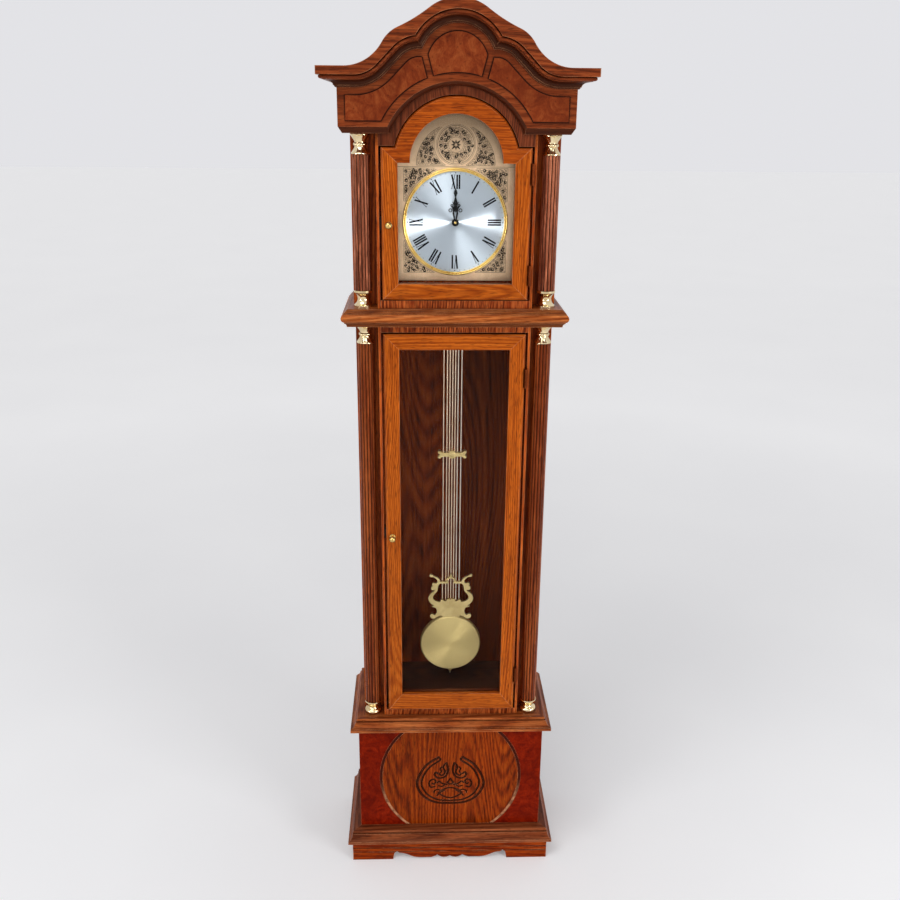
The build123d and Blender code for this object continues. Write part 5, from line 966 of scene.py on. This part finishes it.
capital = [(0, 0), (16.4, 0), (17.4, 0.8), (17.2, 2.2)]
for t in np.linspace(0.06, QUARTER, 12):
    capital.append((10.4 + 6.2 * (1 - math.sin(t)) ** 1.2, 2.6 + 12.2 * t / QUARTER))
capital += [(11.4, 15.6), (12.2, 16.8), (12.4, 18.0), (12.2, 19.2), (11.4, 20.4)]
for t in np.linspace(0.0, QUARTER, 12):
    capital.append((10.4 + 6.9 * (1 - math.cos(t)) ** 1.1, 21.2 + 13 * t / QUARTER))
capital += [(18.6, 34.8), (18.9, 36.2), (18.4, 37.6), (17.2, 38), (0, 38)]
capitals = Parts()
for x, z in ((TRUNK_COLUMN_X, 1254), (HOOD_COLUMN_X, 1616.5)):
    for side in (-1, 1):
        capitals.lathe(capital, (side * x, COLUMN_Y, z), 64, "z", leaves)
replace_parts(make("leafed_capitals", capitals, pale_gold, "case", 45), "column_capitals")

# ---- Pendulum: bob, finial, rods and cross bar ----
PENDULUM_Y, BOB_RADIUS = 8.0, 69.85
ROD_RADIUS, ROD_TOP = 1.48, 1291.9
ROD_PLACES = (-19.0, -11.6, -5.8, 0.0, 5.8, 11.6, 19.0)
BAR_Z, BAR_FRONT, BAR_BACK = 993.0, 2.1, 13.9

bob = Parts()
face = [(0, -8.9), (20, -8.78), (42, -8.6), (63, -8.3), (65, -8.2), (66.2, -8.5), (67.6, -8.0), (69.2, -6.4)]
face += [(69.8, -4.4), (BOB_RADIUS, -2.8), (BOB_RADIUS, 3), (60, 5.0), (30, 8.4), (0, 9)]
bob.lathe(face, (0, PENDULUM_Y, BOB_Z), 128, "y")
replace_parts(make("pendulum_bob_disc", bob, bob_brass, "pendulum", 35), "pendulum_bob")

finial = Parts()
spike = [(0, 0), (6.9, 0), (6.9, -1.4), (5.4, -2.2), (3.2, -2.8), (2.6, -3.8), (3.6, -5.0), (3.2, -6.4),
         (1.9, -8.0), (1.7, -10.4), (0.9, -13.4), (0, -13.9)]
finial.lathe(spike, (0, PENDULUM_Y, BOB_Z - BOB_RADIUS), 32)
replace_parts(make("rating_finial", finial, lyre_brass, "pendulum", 35), "rating_nut")

for name, picked, finish in (("pendulum_rods_brass", ROD_PLACES[:5], rod_brass),
                             ("pendulum_rods_steel", ROD_PLACES[5:], rod_steel)):
    rods = Parts()
    for x in picked:
        rod_low = 445.7 if x == 0 else 618.0
        rods.tube([(x, PENDULUM_Y, rod_low), (x, PENDULUM_Y, ROD_TOP)], ROD_RADIUS, 14)
    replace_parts(make(name, rods, finish, "pendulum", 50), "pendulum_rods")

plate = Parts()
quarter = [(0, 9), (5, 7.6), (7.6, 4.6), (10, 4.2), (20, 4.4), (23.5, 6), (26, 8.8), (29.6, 8.2), (31.4, 5.4),
           (29.6, 3), (26.6, 0)]
half = quarter + [(x, -z) for x, z in reversed(quarter[:-1])]
plate.prism([(x, BAR_Z + z) for x, z in mirrored(half)], BAR_FRONT, BAR_BACK)
rosette = [(0, 0), (5.2, 0), (5.2, -0.3), (4.2, -0.9), (2.4, -0.5), (1.2, -0.9), (0, -1.0)]
plate.lathe(rosette, (0, BAR_FRONT + 0.1, BAR_Z), 24, "y")
stud = [(0, 0), (2.3, 0), (2.0, -0.6), (0.8, -0.8), (0, -0.8)]
for side in (-1, 1):
    for up in (-1, 1):
        plate.lathe(stud, (side * 27.4, BAR_FRONT + 0.1, BAR_Z + up * 5.4), 16, "y")
    wave = [(side * x, BAR_Z + z) for x, z in ((8, -2), (12, 1.6), (16, -1.6), (22, 1.4))]
    plate.ribbon(curve(wave, 5), 1.2, BAR_FRONT - 0.5, BAR_FRONT + 0.1)
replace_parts(make("pendulum_cross_bar", plate, lyre_brass, "pendulum", 40),
            "pendulum_mid_bar")

# ---- Camera, lamps, floor and world, in metres ----
LENS, SENSOR, CAMERA_PLACE = 38.17, 36.0, (-0.07135, -1.9432, 1.689)
PITCH, YAW, ROLL = math.radians(19.39), math.radians(1.96), math.radians(0.52)
FLOOR_HALF = 30
ahead = Vector((math.sin(YAW) * math.cos(PITCH), math.cos(YAW) * math.cos(PITCH), -math.sin(PITCH)))
right = Vector((math.cos(YAW), -math.sin(YAW), 0))
up = right.cross(ahead)
across = math.cos(ROLL) * right + math.sin(ROLL) * up
upward = -math.sin(ROLL) * right + math.cos(ROLL) * up
camera = placed("camera", bpy.data.cameras.new("camera"))
camera.data.lens = LENS
camera.data.sensor_width = SENSOR
turn = Matrix((across, upward, -ahead)).transposed().to_4x4()
camera.matrix_world = Matrix.Translation(CAMERA_PLACE) @ turn
bpy.context.scene.camera = camera


def lamp(name, place, aim, size, watts):
    """A rectangular soft light that points at aim. Size is its width and height."""
    light = bpy.data.lights.new(name, "AREA")
    light.shape = "RECTANGLE"
    light.size, light.size_y = size
    light.energy = watts
    made = placed(name, light)
    made.location = place
    made.rotation_euler = (Vector(aim) - Vector(place)).to_track_quat("-Z", "Y").to_euler()


def seen_rays(tree):
    """1 where a ray comes from the camera, also by way of gloss or glass, and 0 for lamplight."""
    path = tree.nodes.new("ShaderNodeLightPath").outputs
    seen = path["Is Camera Ray"]
    for other in ("Is Glossy Ray", "Is Transmission Ray"):
        larger = tree.nodes.new("ShaderNodeMath")
        larger.operation = "MAXIMUM"
        tree.links.new(seen, larger.inputs[0])
        tree.links.new(path[other], larger.inputs[1])
        seen = larger.outputs[0]
    return seen


def floor_paint():
    """Pale grey that glows a little towards the far end, so that the floor runs into the backdrop."""
    s = Shade("floor_paint", Roughness=0.9, Emission_Color=(1.0, 1.0, 1.0, 1.0))
    mottle = s.noise(s.scaled(1.5), 3.0, 0.5)
    paint = s.ramp(mottle, (0.3, (0.80, 0.80, 0.81, 1)), (0.7, (0.84, 0.84, 0.845, 1)))
    s.put(s.shader, "Base Color", paint)
    far = s.node("VectorMath", {0: s.place}, operation="LENGTH").outputs["Value"]
    greys = [(at, (grey,) * 3 + (1,)) for at, grey in ((0.02, 0.17), (0.19, 0.39), (0.5, 0.42))]
    glow = s.ramp(s.math("DIVIDE", far, 20.0), *greys)
    s.put(s.shader, "Emission Strength", s.times(glow, seen_rays(s.tree)))
    return s.material


lamp("key_light", (2.6, -2.5, 1.35), (0, 0, 1.0), (1.4, 0.4), 50)
lamp("fill_light", (-2.8, -2.3, 1.4), (0, 0, 0.9), (1.4, 0.36), 24)
lamp("top_light", (-0.9, -1.6, 3.4), (0, 0, 0.9), (2.0, 1.6), 34)

floor_mesh = bpy.data.meshes.new("floor")
corners = [(x * FLOOR_HALF, y * FLOOR_HALF, 0) for x, y in ((-1, -1), (1, -1), (1, 1), (-1, 1))]
floor_mesh.from_pydata(corners, [], [(0, 1, 2, 3)])
floor_mesh.materials.append(floor_paint())
floor = placed("floor", floor_mesh)

world = bpy.data.worlds.new("studio")
world.use_nodes = True
bpy.context.scene.world = world
sky = world.node_tree
background = sky.nodes["Background"]
strength = sky.nodes.new("ShaderNodeMapRange")
sky.links.new(seen_rays(sky), strength.inputs["Value"])
strength.inputs["To Min"].default_value = 0.4
strength.inputs["To Max"].default_value = 0.78
background.inputs["Color"].default_value = (0.985, 0.985, 1.02, 1)
sky.links.new(strength.outputs[0], background.inputs["Strength"])
bpy.context.scene.view_settings.view_transform = "Standard"
